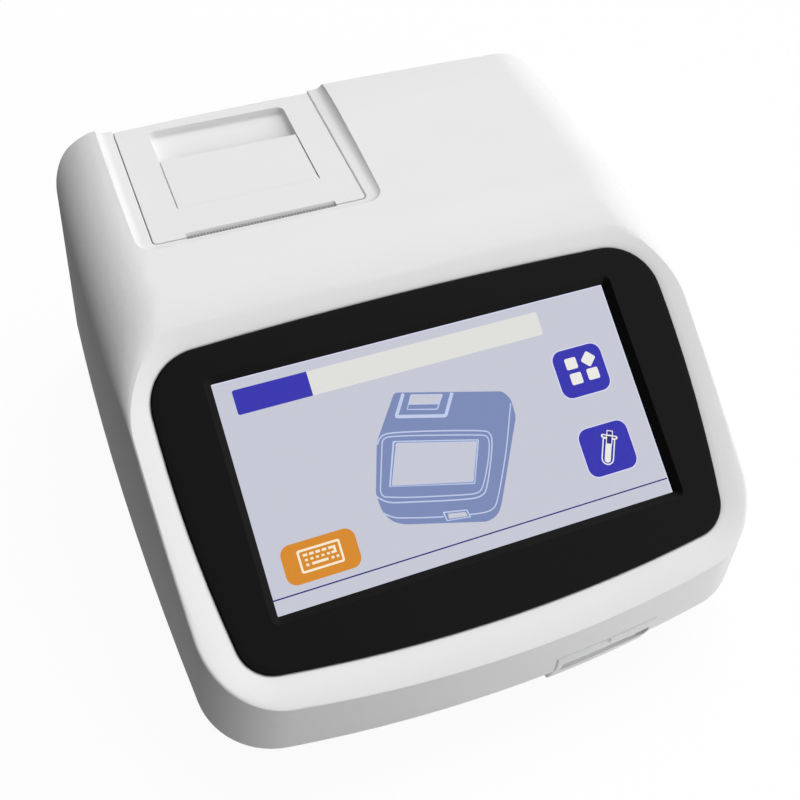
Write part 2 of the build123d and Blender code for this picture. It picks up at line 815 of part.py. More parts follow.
def platen_bushings():
    bush = rod_x(bushing_radius, plate_in - 0.4, ear_in + 2.0, platen_v, platen_w)
    bush = bush - rod_x(platen_shaft + running_gap, 20, 50, platen_v, platen_w)
    return both_sides(bush)


def platen_rod():
    return rod_x(platen_shaft, gear_u - gear_width - 0.6, ear_in + 3.0, platen_v, platen_w)


def platen_sleeve():
    body = rod_x(platen_radius, -paper_half_width + 0.3, paper_half_width - 0.3, platen_v, platen_w)
    return body - rod_x(platen_shaft, -40, 40, platen_v, platen_w)


def gear_profile(teeth, module, phase):
    """A spur gear's outline with one tooth centred on the phase angle."""
    pitch = module*teeth/2
    tip = pitch + module*0.95
    root = pitch - module*1.2
    points = []
    for i in range(teeth):
        centre = phase + 2*pi*i/teeth
        half = pi/(2*teeth)*0.93
        lean = tan(radians(20.0))*module/pitch
        for radius, spread in ((root, half + 1.1*lean), (tip, half - 0.95*lean)):
            points.append((radius, centre - spread))
        for radius, spread in ((tip, half - 0.95*lean), (root, half + 1.1*lean)):
            points.append((radius, centre + spread))
    return make_face(Polyline(*[(r*cos(a), r*sin(a)) for r, a in points], close=True))


def gear_along_x(teeth, module, phase, u0, u1, v, w, bore):
    """A gear on an axis along X; the phase is turned from +Y towards +Z."""
    profile = side_plane.location*gear_profile(teeth, module, phase)
    body = Pos(u0, v, w)*extrude(profile, u1 - u0)
    return body - rod_x(bore, u0 - 1, u1 + 1, v, w)


toward_idler = atan2(idler_w - platen_w, idler_v - platen_v)
toward_feed = atan2(feed_w - idler_w, feed_v - idler_v)
idler_phase = toward_idler + pi + pi/idler_teeth


def feed_phase():
    """Phase of the motor gear that meets the idler's teeth."""
    step = 2*pi/idler_teeth
    ahead = (idler_phase - toward_feed) % step
    return toward_feed + pi - ahead*idler_teeth/feed_teeth + pi/feed_teeth


def platen_gear():
    body = gear_along_x(platen_teeth, gear_module, toward_idler, gear_u - gear_width, gear_u,
                        platen_v, platen_w, platen_shaft)
    return body


def idler_gear():
    body = gear_along_x(idler_teeth, gear_module, idler_phase, gear_u - gear_width, gear_u,
                        idler_v, idler_w, idler_pin + running_gap)
    for i in range(5):
        hole = Rot(72.0*i, 0, 0)*rod_x(1.7, gear_u - gear_width - 1, gear_u + 1, 5.3, 0)
        body = body - Pos(0, idler_v, idler_w)*hole
    return body


def idler_post():
    pin = rod_x(idler_pin, gear_u - gear_width - 0.4, -plate_out, idler_v, idler_w)
    shoulder = rod_x(2.4, gear_u + 0.2, -plate_out, idler_v, idler_w)
    clip = rod_x(2.2, gear_u - gear_width - 0.8, gear_u - gear_width - 0.25, idler_v, idler_w)
    return pin + shoulder + clip


def feed_motor():
    body = rod_x(feed_motor_radius, -plate_in + 0.8, -plate_in + 0.8 + feed_motor_length, feed_v, feed_w)
    flange = box(-plate_in, -plate_in + 0.8, feed_v - 9.0, feed_v + 9.0, feed_w - 3.5, feed_w + 3.5)
    boss = rod_x(1.8, -plate_out, -plate_in, feed_v, feed_w)
    tail = box(-plate_in + 4, -plate_in + 12, feed_v - 5, feed_v + 5,
               feed_w - feed_motor_radius - 2.2, feed_w - 6)
    shaft = rod_x(motor_shaft, gear_u - gear_width - 0.6, gear_u + 0.3, feed_v, feed_w)
    return body + flange + boss + tail, shaft


def feed_gear():
    body = gear_along_x(feed_teeth, gear_module, feed_phase(), gear_u - gear_width, gear_u,
                        feed_v, feed_w, motor_shaft)
    return body


def print_head():
    back = platen_v - platen_radius - head_gap - head_thickness
    low = head_top - head_height
    plate = box(-paper_half_width, paper_half_width, back, back + head_thickness - 0.6, low, head_top)
    ceramic = box(-paper_half_width + 1, paper_half_width - 1, back + head_thickness - 0.6,
                  back + head_thickness - 0.2, platen_w - 6, platen_w + 4)
    glaze = box(-paper_half_width + 4, paper_half_width - 4, back + head_thickness - 0.2,
                back + head_thickness, platen_w - 1, platen_w + 1)
    socket = box(-10, 10, back + head_thickness - 0.6, back + head_thickness + 0.3, low, low + 3.4)
    return plate + ceramic + glaze + socket


def head_spring():
    """Leaf spring that presses the head on the platen: a back strip and three bowed fingers."""
    front = platen_v - platen_radius - head_gap - head_thickness
    wall_v = cross_front + cross_wall
    strip = box(-24, 24, wall_v, wall_v + spring_leaf, -20, -16)
    body = strip
    for u in (-19, 0, 19):
        finger = slab([(wall_v, -16.2), (front - spring_leaf - 0.02, -11),
                       (front - spring_leaf - 0.02, -9),
                       (front - 0.02, -9), (front - 0.02, -11.2),
                       (wall_v + spring_leaf, -16.8)], u - 3, u + 3)
        body = body + finger
    return body


def tear_bar():
    """Serrated bar at the paper slot, hooked over the frame's front wall."""
    root = tear_tip - tooth_depth
    top = -tear_skin
    low = top - tear_thickness
    half = slot_half_width
    body = box(-half, half, cross_front, root, low, top)
    leg = box(-half + 2, half - 2, cross_front + 0.2, cross_front + 1.4, head_top, low)
    count = int(2*half/tooth_pitch)
    start = -count*tooth_pitch/2
    points = [(start, root - 0.01)]
    for i in range(count):
        points.append((start + (i + 0.5)*tooth_pitch, tear_tip))
        points.append((start + (i + 1)*tooth_pitch, root))
    points[-1] = (start + count*tooth_pitch, root - 0.01)
    teeth = extrude(Pos(0, 0, low)*make_face(Polyline(*points, close=True)), tear_thickness)
    return body + teeth + leg


def paper_roll():
    body = rod_x(roll_radius, -paper_half_width, paper_half_width, roll_v, roll_w)
    return body - rod_x(core_radius, -40, 40, roll_v, roll_w)


def paper_core():
    body = rod_x(core_radius, -paper_half_width, paper_half_width, roll_v, roll_w)
    return body - rod_x(core_bore, -40, 40, roll_v, roll_w)


# Strip tray, mouth and drive

rack_line = tray_half_width - rack_module*0.95
pinion_pitch = rack_module*pinion_teeth/2
pinion_x = tray_x + rack_line + pinion_pitch


def slot_frame():
    """The mouth round the tray: flush at its top and proud of the receding lower housing."""
    half = mouth_half_width
    proud = outline(parting_height, -mouth_proud)
    shell = extrude(Pos(0, 0, mouth_knee - parting_height)*proud, mouth_top - mouth_knee)
    drawn = Pos(0, 0, mouth_low - parting_height)*outline(parting_height, mouth_lean)
    shell = shell + loft([drawn, Pos(0, 0, mouth_knee - parting_height)*proud], ruled=True)
    body = shell & mouth_block(0)
    front = [e for e in body.edges() if e.center().Y < -114.5 and e.bounding_box().size.Y < 6]
    upper = [e for e in front if e.center().Z > mouth_top - 0.1]
    sides = [e for e in front if abs(abs(e.center().X - tray_x) - half) < 0.05 and e.length > 6]
    body = fillet(upper + sides, 0.8)
    flange = box(tray_x - half - 3, tray_x + half + 3, mouth_flange_y - mouth_flange, mouth_flange_y,
                 mouth_sill + 0.4, mouth_top + 3)
    body = body + flange
    opening = box(tray_x - mouth_open_half, tray_x + mouth_open_half, front_y - 10, mouth_flange_y + 1,
                  mouth_open_low, mouth_open_top)
    notch = rod_z(0.9, mouth_top - 1.4, mouth_top + 1, tray_x, front_y + 1.0)
    return body - opening - notch


def rack_teeth():
    """Rack along the tray's right edge, with a gap facing the pinion."""
    pitch = pi*rack_module
    tip_x = tray_x + tray_half_width
    root_x = tip_x - rack_module*2.15
    half_tip = pitch/4*0.93 - 0.95*rack_module*tan(radians(20))
    half_root = pitch/4*0.93 + 1.2*rack_module*tan(radians(20))
    first = int((tray_front + rack_start - pinion_y)/pitch) - 1
    last = int((tray_front + tray_length - 1 - pinion_y)/pitch) - 1
    points = [(root_x - 1, pinion_y + (first + 0.5)*pitch - half_root)]
    for i in range(first, last + 1):
        y = pinion_y + (i + 0.5)*pitch
        points += [(root_x, y - half_root), (tip_x, y - half_tip), (tip_x, y + half_tip),
                   (root_x, y + half_root)]
    points.append((root_x - 1, points[-1][1]))
    low = tray_bottom
    return extrude(Pos(0, 0, low)*make_face(Polyline(*points, close=True)), pinion_width)


def strip_tray():
    left = tray_x - tray_half_width
    right = tray_x + tray_half_width
    back = tray_front + tray_length
    top = tray_bottom + tray_height
    body = box(left, right, tray_front, back, tray_bottom, top)
    body = fillet(body.edges().filter_by(Axis.Z).group_by(Axis.Y)[0], 2.5)
    # room for the rack in the lower right edge
    body = body - box(right - rack_module*2.15, right + 1, tray_front + rack_start - 4, back + 1,
                      tray_bottom - 1, tray_bottom + pinion_width + 0.2)
    teeth = rack_teeth()
    body = body + teeth
    # pocket for the strip holder, and a finger dip at the front
    pocket = box(tray_x - insert_half_width, tray_x + insert_half_width, tray_front + insert_margin,
                 back - insert_margin, top - insert_depth, top + 1)
    body = body - pocket
    return body


def strip_holder():
    back = tray_front + tray_length
    top = tray_bottom + tray_height
    gap = 0.1
    body = box(tray_x - insert_half_width + gap, tray_x + insert_half_width - gap,
               tray_front + insert_margin + gap,
               back - insert_margin - gap, top - insert_depth, top - 0.2)
    channel = box(tray_x - strip_width/2, tray_x + strip_width/2, tray_front + insert_margin + 4,
                  tray_front + insert_margin + 4 + strip_length, top - 0.2 - strip_depth, top + 1)
    drain = box(tray_x - 7, tray_x + 7, tray_front + insert_margin + 14, tray_front + insert_margin + 88,
                top - 0.2 - strip_depth*0.5, top + 1)
    pad = box(tray_x - 5, tray_x + 5, back - insert_margin - 4 - pad_length, back - insert_margin - 4,
              top - 1.2, top + 1)
    return body - channel - drain - pad


def reference_pad():
    back = tray_front + tray_length
    top = tray_bottom + tray_height
    return box(tray_x - 5, tray_x + 5, back - insert_margin - 4 - pad_length, back - insert_margin - 4,
               top - 1.2, top - 0.2)


def guide_supports():
    """Where the tray guide stands on the lower housing."""
    out = tray_half_width + tray_gap + guide_wall + 4.0
    return [(tray_x + side*out, y) for side in (1, -1) for y in (-58.0, 24.0)]


def tray_guide():
    inner = tray_half_width + tray_gap
    outer = inner + guide_wall
    floor_top = tray_bottom - tray_gap
    low = floor_top - guide_floor
    lip_low = tray_bottom + tray_height + tray_gap
    top = lip_low + 1.5
    body = box(tray_x - outer, tray_x + outer, guide_front, guide_back, low, top)
    body = body - box(tray_x - inner, tray_x + inner, guide_front - 1, guide_back - 2.0, floor_top,
                      lip_low)
    body = body - box(tray_x - inner + guide_lip, tray_x + inner - guide_lip, guide_front - 1,
                      guide_back - 2.0,
                      floor_top, top + 1)
    clear = pinion_pitch + rack_module + 1.5
    body = body - box(tray_x + inner - 1, tray_x + outer + 1, pinion_y - clear, pinion_y + clear,
                      floor_top, top + 1)
    body = body - rod_z(clear, low - 1, top + 1, pinion_x, pinion_y)
    for x, y in guide_supports():
        start = tray_x + outer - 0.5 if x > tray_x else tray_x - outer + 0.5
        ear = box(min(start, x), max(start, x), y - 4, y + 4, low,
                  floor_top) + rod_z(4.0, low, floor_top, x, y)
        body = body + ear - rod_z(small_screw + screw_clearance, low - 1, floor_top + 1, x, y)
    # seats for the optical head
    for side in (1, -1):
        for y in (head_box_front + 4, head_box_back - 4):
            x = tray_x + side*(outer - 1.4)
            body = body + box(x - 1.4, x + 1.4, y - 3, y + 3, top, top + 1.0)
    return body


def guide_screws():
    top = tray_bottom - tray_gap
    return [rod_z(small_screw, top - guide_floor - 5.0, top, x, y)
            + rod_z(small_head, top, top + small_head_height, x, y) for x, y in guide_supports()]


def tray_motor_top():
    return foot_height + wall + tray_motor_height


def tray_motor():
    low = foot_height + wall
    top = tray_motor_top()
    body = rod_z(tray_motor_radius, low, top, pinion_x, pinion_y)
    flange = box(pinion_x - 18, pinion_x + 18, pinion_y - 4, pinion_y + 4, top - 1.0, top)
    shaft = rod_z(tray_motor_shaft, top, tray_bottom + pinion_width + 1.0, pinion_x, pinion_y)
    return body + flange, shaft


def tray_pinion():
    profile = gear_profile(pinion_teeth, rack_module, pi)
    body = Pos(pinion_x, pinion_y, tray_bottom)*extrude(profile, pinion_width)
    hub = rod_z(3.4, tray_motor_top() + 0.3, tray_bottom, pinion_x, pinion_y)
    return (body + hub) - rod_z(tray_motor_shaft, 0, 40, pinion_x, pinion_y)


# Optical head

def head_seat():
    return tray_bottom + tray_height + tray_gap + 2.5


def optical_head():
    low = head_seat()
    top = low + head_box_height
    left = tray_x - head_box_half
    right = tray_x + head_box_half
    body = box(left, right, head_box_front, head_box_back, low, top)
    body = chamfer(body.edges().filter_by(Axis.Y).group_by(Axis.Z)[-1], 4.0)
    middle = (head_box_front + head_box_back)/2
    window = box(tray_x - window_half, tray_x + window_half, middle - window_length/2,
                 middle + window_length/2,
                 low - 1, low + window_thickness)
    light = box(tray_x - window_half + 2, tray_x + window_half - 2, middle - window_length/2 + 2,
                middle + window_length/2 - 2, low, top - 2.0)
    return body - window - light


def optical_window():
    low = head_seat()
    middle = (head_box_front + head_box_back)/2
    return box(tray_x - window_half, tray_x + window_half, middle - window_length/2,
               middle + window_length/2,
               low, low + window_thickness)


def led_board():
    low = head_seat() + head_box_height
    middle = (head_box_front + head_box_back)/2
    board = box(tray_x - 14, tray_x + 14, middle - 20, middle + 20, low, low + board_thickness)
    top = low + board_thickness
    socket = box(tray_x - 7, tray_x + 7, middle + 10, middle + 16, top, top + 3)
    sensor = box(tray_x - 5, tray_x + 5, middle - 8, middle + 2, top, top + 2)
    return board + socket + sensor


# Electronics and the back

def board_places():
    return [(x, y) for x in (board_left + 5, -14.0, board_right - 5)
            for y in (board_front + 5, board_back - 18)]


def main_board():
    top = board_z + board_thickness
    board = box(board_left, board_right, board_front, board_back, board_z, top)
    for x, y in board_places():
        board = board - rod_z(small_screw + screw_clearance, board_z - 1, top + 1, x, y)
    chips = [(-40, 66, 11, 11, 1.6), (-8, 60, 8, 8, 1.4), (22, 70, 6, 9, 1.4), (-66, 60, 5, 5, 5.0),
             (40, 58, 7, 5, 4.0)]
    for x, y, a, b, h in chips:
        board = board + box(x - a, x + a, y - b, y + b, top, top + h)
    for x in (-66, -30, 6, 36):
        board = board + box(x - 9, x + 9, board_front + 2, board_front + 8, top, top + 6)
    for x, y in ((24, 90), (38, 90), (-26, 88)):
        board = board + rod_z(4.0, top, top + 10, x, y)
    return board


def board_screws():
    top = board_z + board_thickness
    return [rod_z(small_screw, board_z - 5.0, top, x, y) + rod_z(small_head, top,
                                                                 top + small_head_height, x, y)
            for x, y in board_places()]


def dc_inlet():
    low = board_z + board_thickness
    body = box(inlet_x - 4.5, inlet_x + 4.5, board_back - 11, socket_face_y, low, low + 11)
    body = body - rod_y(3.15, socket_face_y - 9.5, socket_face_y + 1, inlet_x, low + 6.5)
    pin = rod_y(1.0, socket_face_y - 10, socket_face_y - 1.0, inlet_x, low + 6.5)
    return body + pin


def usb_socket():
    low = board_z + board_thickness
    body = box(usb_x - 6.6, usb_x + 6.6, board_back - 9, socket_face_y, low, low + 7)
    body = body - box(usb_x - 6.1, usb_x + 6.1, socket_face_y - 9, socket_face_y + 1, low + 1, low + 6)
    return body + box(usb_x - 5.4, usb_x + 5.4, socket_face_y - 9.5, socket_face_y - 1, low + 3.6,
                      low + 5.2)


def serial_socket():
    low = board_z + board_thickness
    middle = low + 6.5
    body = box(serial_x - 15.4, serial_x + 15.4, board_back - 10, socket_face_y - 1.6, low, low + 12.6)
    points = [(-8.6, 4.2), (8.6, 4.2), (7.3, -4.2), (-7.3, -4.2)]
    shell = extrude(Plane.XZ*make_face(Polyline(*points, close=True)), -7.0)
    body = body + Pos(serial_x, socket_face_y - 6.0, middle)*shell
    for row, count in ((1.4, 5), (-1.4, 4)):
        for i in range(count):
            body = body - rod_y(0.6, socket_face_y - 5, socket_face_y + 3,
                                serial_x + (i - (count - 1)/2)*2.75, middle + row)
    for side in (1, -1):
        nut = rod_y(2.4, socket_face_y - 2, socket_face_y + 2.0, serial_x + side*12.5, middle)
        body = body + nut - rod_y(1.4, socket_face_y - 4, socket_face_y + 3, serial_x + side*12.5, middle)
    return body


rocker_y = rear_floor_y - 1.0


def power_switch():
    flange = box(switch_x - switch_half_width, switch_x + switch_half_width, rear_floor_y,
                 rear_floor_y + 1.6,
                 switch_z - switch_half_height, switch_z + switch_half_height)
    body = box(switch_x - switch_half_width + 1.1, switch_x + switch_half_width - 1.1, rear_floor_y - 18,
               rear_floor_y, switch_z - switch_half_height + 1.1, switch_z + switch_half_height - 1.1)
    well = box(switch_x - 7.6, switch_x + 7.6, rear_floor_y - 7.0, rear_floor_y + 3, switch_z - 4.9,
               switch_z + 4.9)
    tags = [box(switch_x + dx - 0.4, switch_x + dx + 0.4, rear_floor_y - 25, rear_floor_y - 18,
                switch_z - 2.4, switch_z + 2.4) for dx in (-6, 0, 6)]
    body = flange + body - well
    for tag in tags:
        body = body + tag
    return body - rod_z(rocker_pin + running_gap, switch_z - 6.0, switch_z + 6.0, switch_x, rocker_y)


def power_rocker():
    """Rocker at rest with its left end pressed in; it tips about an upright axis."""
    half = 6.9
    with BuildSketch(Plane.XY) as sketch:
        with BuildLine():
            Polyline((-half, 0.4), (-half, -3.2), (-2.6, -4.8), (2.6, -4.8), (half, -3.2), (half, 0.4))
            ThreePointArc((half, 0.4), (0, -0.5), (-half, 0.4))
        make_face()
    body = extrude(sketch.sketch, 4.6, both=True)
    body = Pos(switch_x, rocker_y, switch_z)*Rot(0, 0, rocker_tilt)*Pos(0, 1.4, 0)*body
    return body + rod_z(rocker_pin, switch_z - 5.8, switch_z + 5.8, switch_x, rocker_y)


def speaker():
    low = foot_height + wall
    body = rod_z(14.0, low, low + 5.0, -62.0, -40.0)
    magnet = rod_z(8.0, low + 5.0, low + 8.0, -62.0, -40.0)
    return body + magnet


# Housings

def upper_housing(outside):
    body = outside - upper_form(wall)
    ledge = Pos(0, 0, -bezel_depth - ledge_thickness)*extrude(bezel_outline(5.0),
                                                              bezel_depth + ledge_thickness + 1.2)
    body = body + (on_screen(ledge) & outside)
    body = body + (on_lid(printer_ledge_block()) & outside)
    rear = box(-rear_half - wall, rear_half + wall, rear_floor_y - wall, back_y + 5, rear_low - 0.4,
               rear_high + wall)
    body = body + (rear & outside)
    for x, y in all_posts():
        body = body + (rod_z(post_radius, parting_height, body_height, x, y) & outside)
    for x, y in ear_places():
        boss = Pos(x, y, (bracket_level() - bezel_depth)/2)*Cylinder(3.6, -bezel_depth - bracket_level())
        body = body + on_screen(boss)
    # bezel seat and screen opening
    seat = Pos(0, 0, -bezel_depth)*extrude(bezel_outline(bezel_gap), bezel_depth + 5)
    dish = [Pos(0, 0, level)*bezel_outline(grow) for grow, level in dish_steps]
    clear = Pos(0, 0, dish_steps[-1][1])*extrude(bezel_outline(dish_steps[-1][0]), 6.0)
    seat = seat + loft(dish, ruled=True) + clear
    glass_half = glass_width/2 + part_gap
    glass_high = glass_height/2 + part_gap
    hole = box(-glass_half, glass_half, -glass_high, glass_high, -bezel_depth - ledge_thickness - 6, 1)
    body = body - on_screen(seat) - on_screen(hole)
    for x, y in ear_places():
        body = body - on_screen(rod_z(small_screw, bracket_level() - 1, bracket_level() + 4.0, x, y))
    # lid, slot and trough
    body = body - on_lid(trough_cutter()) - on_lid(lid_opening())
    for u, v in wing_places():
        body = body - on_lid(rod_z(small_screw, -printer_ledge - 1, -printer_ledge + 4.5, u, v))
    # tray mouth
    body = body - mouth_block(0.1)
    flange = box(tray_x - mouth_half_width - 3.2, tray_x + mouth_half_width + 3.2,
                 mouth_flange_y - mouth_flange - 0.1,
                 mouth_flange_y + 4, parting_height - 4, mouth_top + 3.2)
    body = body - flange
    # recess and holes at the back
    body = body - box(-rear_half, rear_half, rear_floor_y, back_y + 5, rear_low, rear_high)
    low = board_z + board_thickness
    gap = socket_gap
    body = body - box(inlet_x - 4.5 - gap, inlet_x + 4.5 + gap, rear_floor_y - 5, back_y, low - gap,
                      low + 11 + gap)
    body = body - box(usb_x - 6.6 - gap, usb_x + 6.6 + gap, rear_floor_y - 5, back_y, low - gap,
                      low + 7 + gap)
    body = body - box(serial_x - 15.4 - gap, serial_x + 15.4 + gap, rear_floor_y - 5, back_y,
                      low - gap, low + 12.6 + gap)
    body = body - box(switch_x - switch_half_width + 1, switch_x + switch_half_width - 1,
                      rear_floor_y - 5, back_y,
                      switch_z - switch_half_height + 1, switch_z + switch_half_height - 1)
    for x, y in all_posts():
        body = body - rod_z(screw_radius, parting_height - 1, parting_height + screw_engagement, x, y)
    return body


def lower_housing():
    body = lower_form(0) - lower_form(wall)
    ring = extrude(outline(parting_height, wall + tongue_gap), tongue_height)
    ring = ring - extrude(outline(parting_height, wall + tongue_gap + tongue_thickness), tongue_height)
    low_ring = Pos(0, 0, -2.5)*(extrude(outline(parting_height, lower_step + wall - 0.5), 2.5)
                                - extrude(outline(parting_height,
                                                  wall + tongue_gap + tongue_thickness), 2.5))
    body = body + ring + low_ring
    floor = foot_height + wall
    for x, y in all_posts():
        post = rod_z(post_radius, foot_height + 0.5, parting_height, x, y)
        body = body + post
    for x, y in board_places():
        body = body + rod_z(boss_radius, floor - 0.5, board_z, x, y)
    low = tray_bottom - tray_gap - guide_floor
    for x, y in guide_supports():
        body = body + rod_z(boss_radius, floor - 0.5, low, x, y)
    for side in (1, -1):
        body = body + rod_z(2.4, floor - 0.5, tray_motor_top() - 1.0, pinion_x + side*15.6, pinion_y)
    # cut the screw holes, the feet's sockets and the mouth
    for x, y in all_posts():
        body = body - rod_z(screw_radius + screw_clearance, 0, parting_height + 1, x, y)
        body = body - rod_z(screw_head_radius + screw_clearance, 0, foot_height + counterbore_depth, x, y)
    for x, y in board_places():
        body = body - rod_z(small_screw, board_z - 6.0, board_z + 1, x, y)
    for x, y in guide_supports():
        body = body - rod_z(small_screw, low - 6.0, low + 1, x, y)
    for x, y in feet_places():
        body = body - rod_z(foot_radius + 0.2, 0, foot_height + foot_socket, x, y)
    body = body - mouth_block(0.1)
    flange = box(tray_x - mouth_half_width - 3.2, tray_x + mouth_half_width + 3.2,
                 mouth_flange_y - mouth_flange - 0.1,
                 mouth_flange_y + 0.1, mouth_sill, parting_height + 4)
    body = body - flange
    for i in range(7):
        slot = box(-48 + 8*i, -45 + 8*i, -6, 24, 0, floor + 0.5)
        body = body - slot
    return body


def rubber_feet():
    feet = []
    for x, y in feet_places():
        pad = rod_z(foot_radius, 0, foot_height + foot_socket, x, y)
        feet.append(chamfer(pad.faces().sort_by(Axis.Z)[0].edges(), 0.8))
    return feet


def housing_screws():
    seat = foot_height + counterbore_depth
    screws = []
    for x, y in all_posts():
        shank = rod_z(screw_radius, seat, parting_height + screw_engagement - 0.5, x, y)
        head = rod_z(screw_head_radius, seat - screw_head_height, seat, x, y)
        drive = rod_z(1.2, seat - screw_head_height - 1, seat - 1.2, x, y)
        screws.append(shank + head - drive)
    return screws


def save(name, shape):
    """Writes one sub-part, joining a list of loose solids in one file."""
    if isinstance(shape, (list, tuple)):
        solids = []
        for piece in shape:
            solids += piece.solids()
        shape = Compound(children=solids)
    export_step(shape, "parts/" + name + ".step")


def build():
    os.makedirs("parts", exist_ok=True)
    outside = upper_form(0)
    feed_body, feed_axle = feed_motor()
    tray_body, tray_axle = tray_motor()
    save("upper_housing", upper_housing(outside))
    save("lower_housing", lower_housing())
    save("rubber_feet", rubber_feet())
    save("housing_screws", housing_screws())
    save("screen_bezel", on_screen(screen_bezel()))
    save("touch_glass", on_screen(touch_glass()))
    save("display_panel", on_screen(display_panel()))
    save("display_bracket", on_screen(display_bracket()))
    save("display_board", on_screen(display_board()))
    save("bracket_screws", [on_screen(s) for s in bracket_screws()])
    save("printer_frame", on_lid(printer_frame()))
    save("frame_screws", [on_lid(s) for s in frame_screws()])
    save("printer_lid", on_lid(printer_lid(outside)))
    save("lid_hinge_pins", [on_lid(s) for s in lid_hinge_pins()])
    save("lid_lever", on_lid(lid_lever()))
    save("lever_shaft", on_lid(lever_shaft()))
    save("lever_cams", [on_lid(s) for s in lever_cams()])
    save("platen_bushings", [on_lid(s) for s in platen_bushings()])
    save("platen_shaft", on_lid(platen_rod()))
    save("platen_sleeve", on_lid(platen_sleeve()))
    save("platen_gear", on_lid(platen_gear()))
    save("idler_gear", on_lid(idler_gear()))
    save("idler_post", on_lid(idler_post()))
    save("feed_motor", on_lid(feed_body))
    save("feed_motor_shaft", on_lid(feed_axle))
    save("feed_gear", on_lid(feed_gear()))
    save("print_head", on_lid(print_head()))
    save("head_spring", on_lid(head_spring()))
    save("tear_bar", on_lid(tear_bar()))
    save("paper_roll", on_lid(paper_roll()))
    save("paper_core", on_lid(paper_core()))
    save("slot_frame", slot_frame())
    save("strip_tray", strip_tray())
    save("strip_holder", strip_holder())
    save("reference_pad", reference_pad())
    save("tray_guide", tray_guide())
    save("guide_screws", guide_screws())
    save("tray_motor", tray_body)
    save("tray_motor_shaft", tray_axle)
    save("tray_pinion", tray_pinion())
    save("optical_head", optical_head())
    save("optical_window", optical_window())
    save("led_board", led_board())
    save("main_board", main_board())
    save("board_screws", board_screws())
    save("dc_inlet", dc_inlet())
    save("usb_socket", usb_socket())
    save("serial_socket", serial_socket())
    save("power_switch", power_switch())
    save("power_rocker", power_rocker())
    save("speaker", speaker())


build()
hinge = lid_plane.from_local_coords(Vector(0, hinge_v, hinge_w))
platen = lid_plane.from_local_coords(Vector(0, platen_v, platen_w))
idler = lid_plane.from_local_coords(Vector(gear_u, idler_v, idler_w))
feed = lid_plane.from_local_coords(Vector(gear_u, feed_v, feed_w))
roll = lid_plane.from_local_coords(Vector(0, roll_v, roll_w))
lever = lid_plane.from_local_coords(Vector(0, pivot_v, lever_pivot_w))
for title, place in (("lid hinge", hinge), ("platen", platen), ("idler", idler), ("feed gear", feed),
                     ("paper roll", roll), ("lever", lever)):
    print(title, [round(c, 3) for c in place])
print("tray pinion", round(pinion_x, 3), pinion_y, "rocker", switch_x, rocker_y, switch_z)
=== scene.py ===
import json
from math import cos, radians, sin

import bmesh
import bpy
from mathutils import Matrix, Vector


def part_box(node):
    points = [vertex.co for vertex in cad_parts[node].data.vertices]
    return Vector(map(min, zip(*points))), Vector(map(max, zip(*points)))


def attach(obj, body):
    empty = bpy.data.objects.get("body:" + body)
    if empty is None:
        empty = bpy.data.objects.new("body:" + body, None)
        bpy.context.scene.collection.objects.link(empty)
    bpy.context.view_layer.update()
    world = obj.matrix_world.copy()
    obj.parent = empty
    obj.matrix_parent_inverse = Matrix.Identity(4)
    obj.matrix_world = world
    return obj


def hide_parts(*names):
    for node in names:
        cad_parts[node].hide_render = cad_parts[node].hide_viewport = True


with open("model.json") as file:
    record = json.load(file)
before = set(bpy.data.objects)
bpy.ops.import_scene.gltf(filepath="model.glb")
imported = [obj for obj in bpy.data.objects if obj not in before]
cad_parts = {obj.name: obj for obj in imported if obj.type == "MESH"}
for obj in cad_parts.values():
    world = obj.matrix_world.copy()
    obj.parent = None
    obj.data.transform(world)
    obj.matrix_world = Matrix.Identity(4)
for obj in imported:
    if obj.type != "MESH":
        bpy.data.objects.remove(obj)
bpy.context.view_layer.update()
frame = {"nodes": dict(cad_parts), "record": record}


# Camera: the photograph was taken from above the left front corner with a moderate lens.
# Place, turn and focal length come from the lines of the screen and body in it.
camera = bpy.data.cameras.new("camera")
camera.lens = 50.35
camera.sensor_width = 36.0
camera.clip_start = 0.01
viewer = bpy.data.objects.new("camera", camera)
viewer.location = (-0.11771, -0.26360, 0.40337)
viewer.rotation_euler = (0.67896, -0.04426, -0.36850)
bpy.context.scene.collection.objects.link(viewer)
bpy.context.scene.camera = viewer


# Housing: two shells of white moulded plastic with a very fine satin skin, screwed together
# from below. The curved shells are shown through copies with joined and smoothed faces.
drift_scale = 22.0
grain_depth = 0.0002
roughness_drift = 0.1


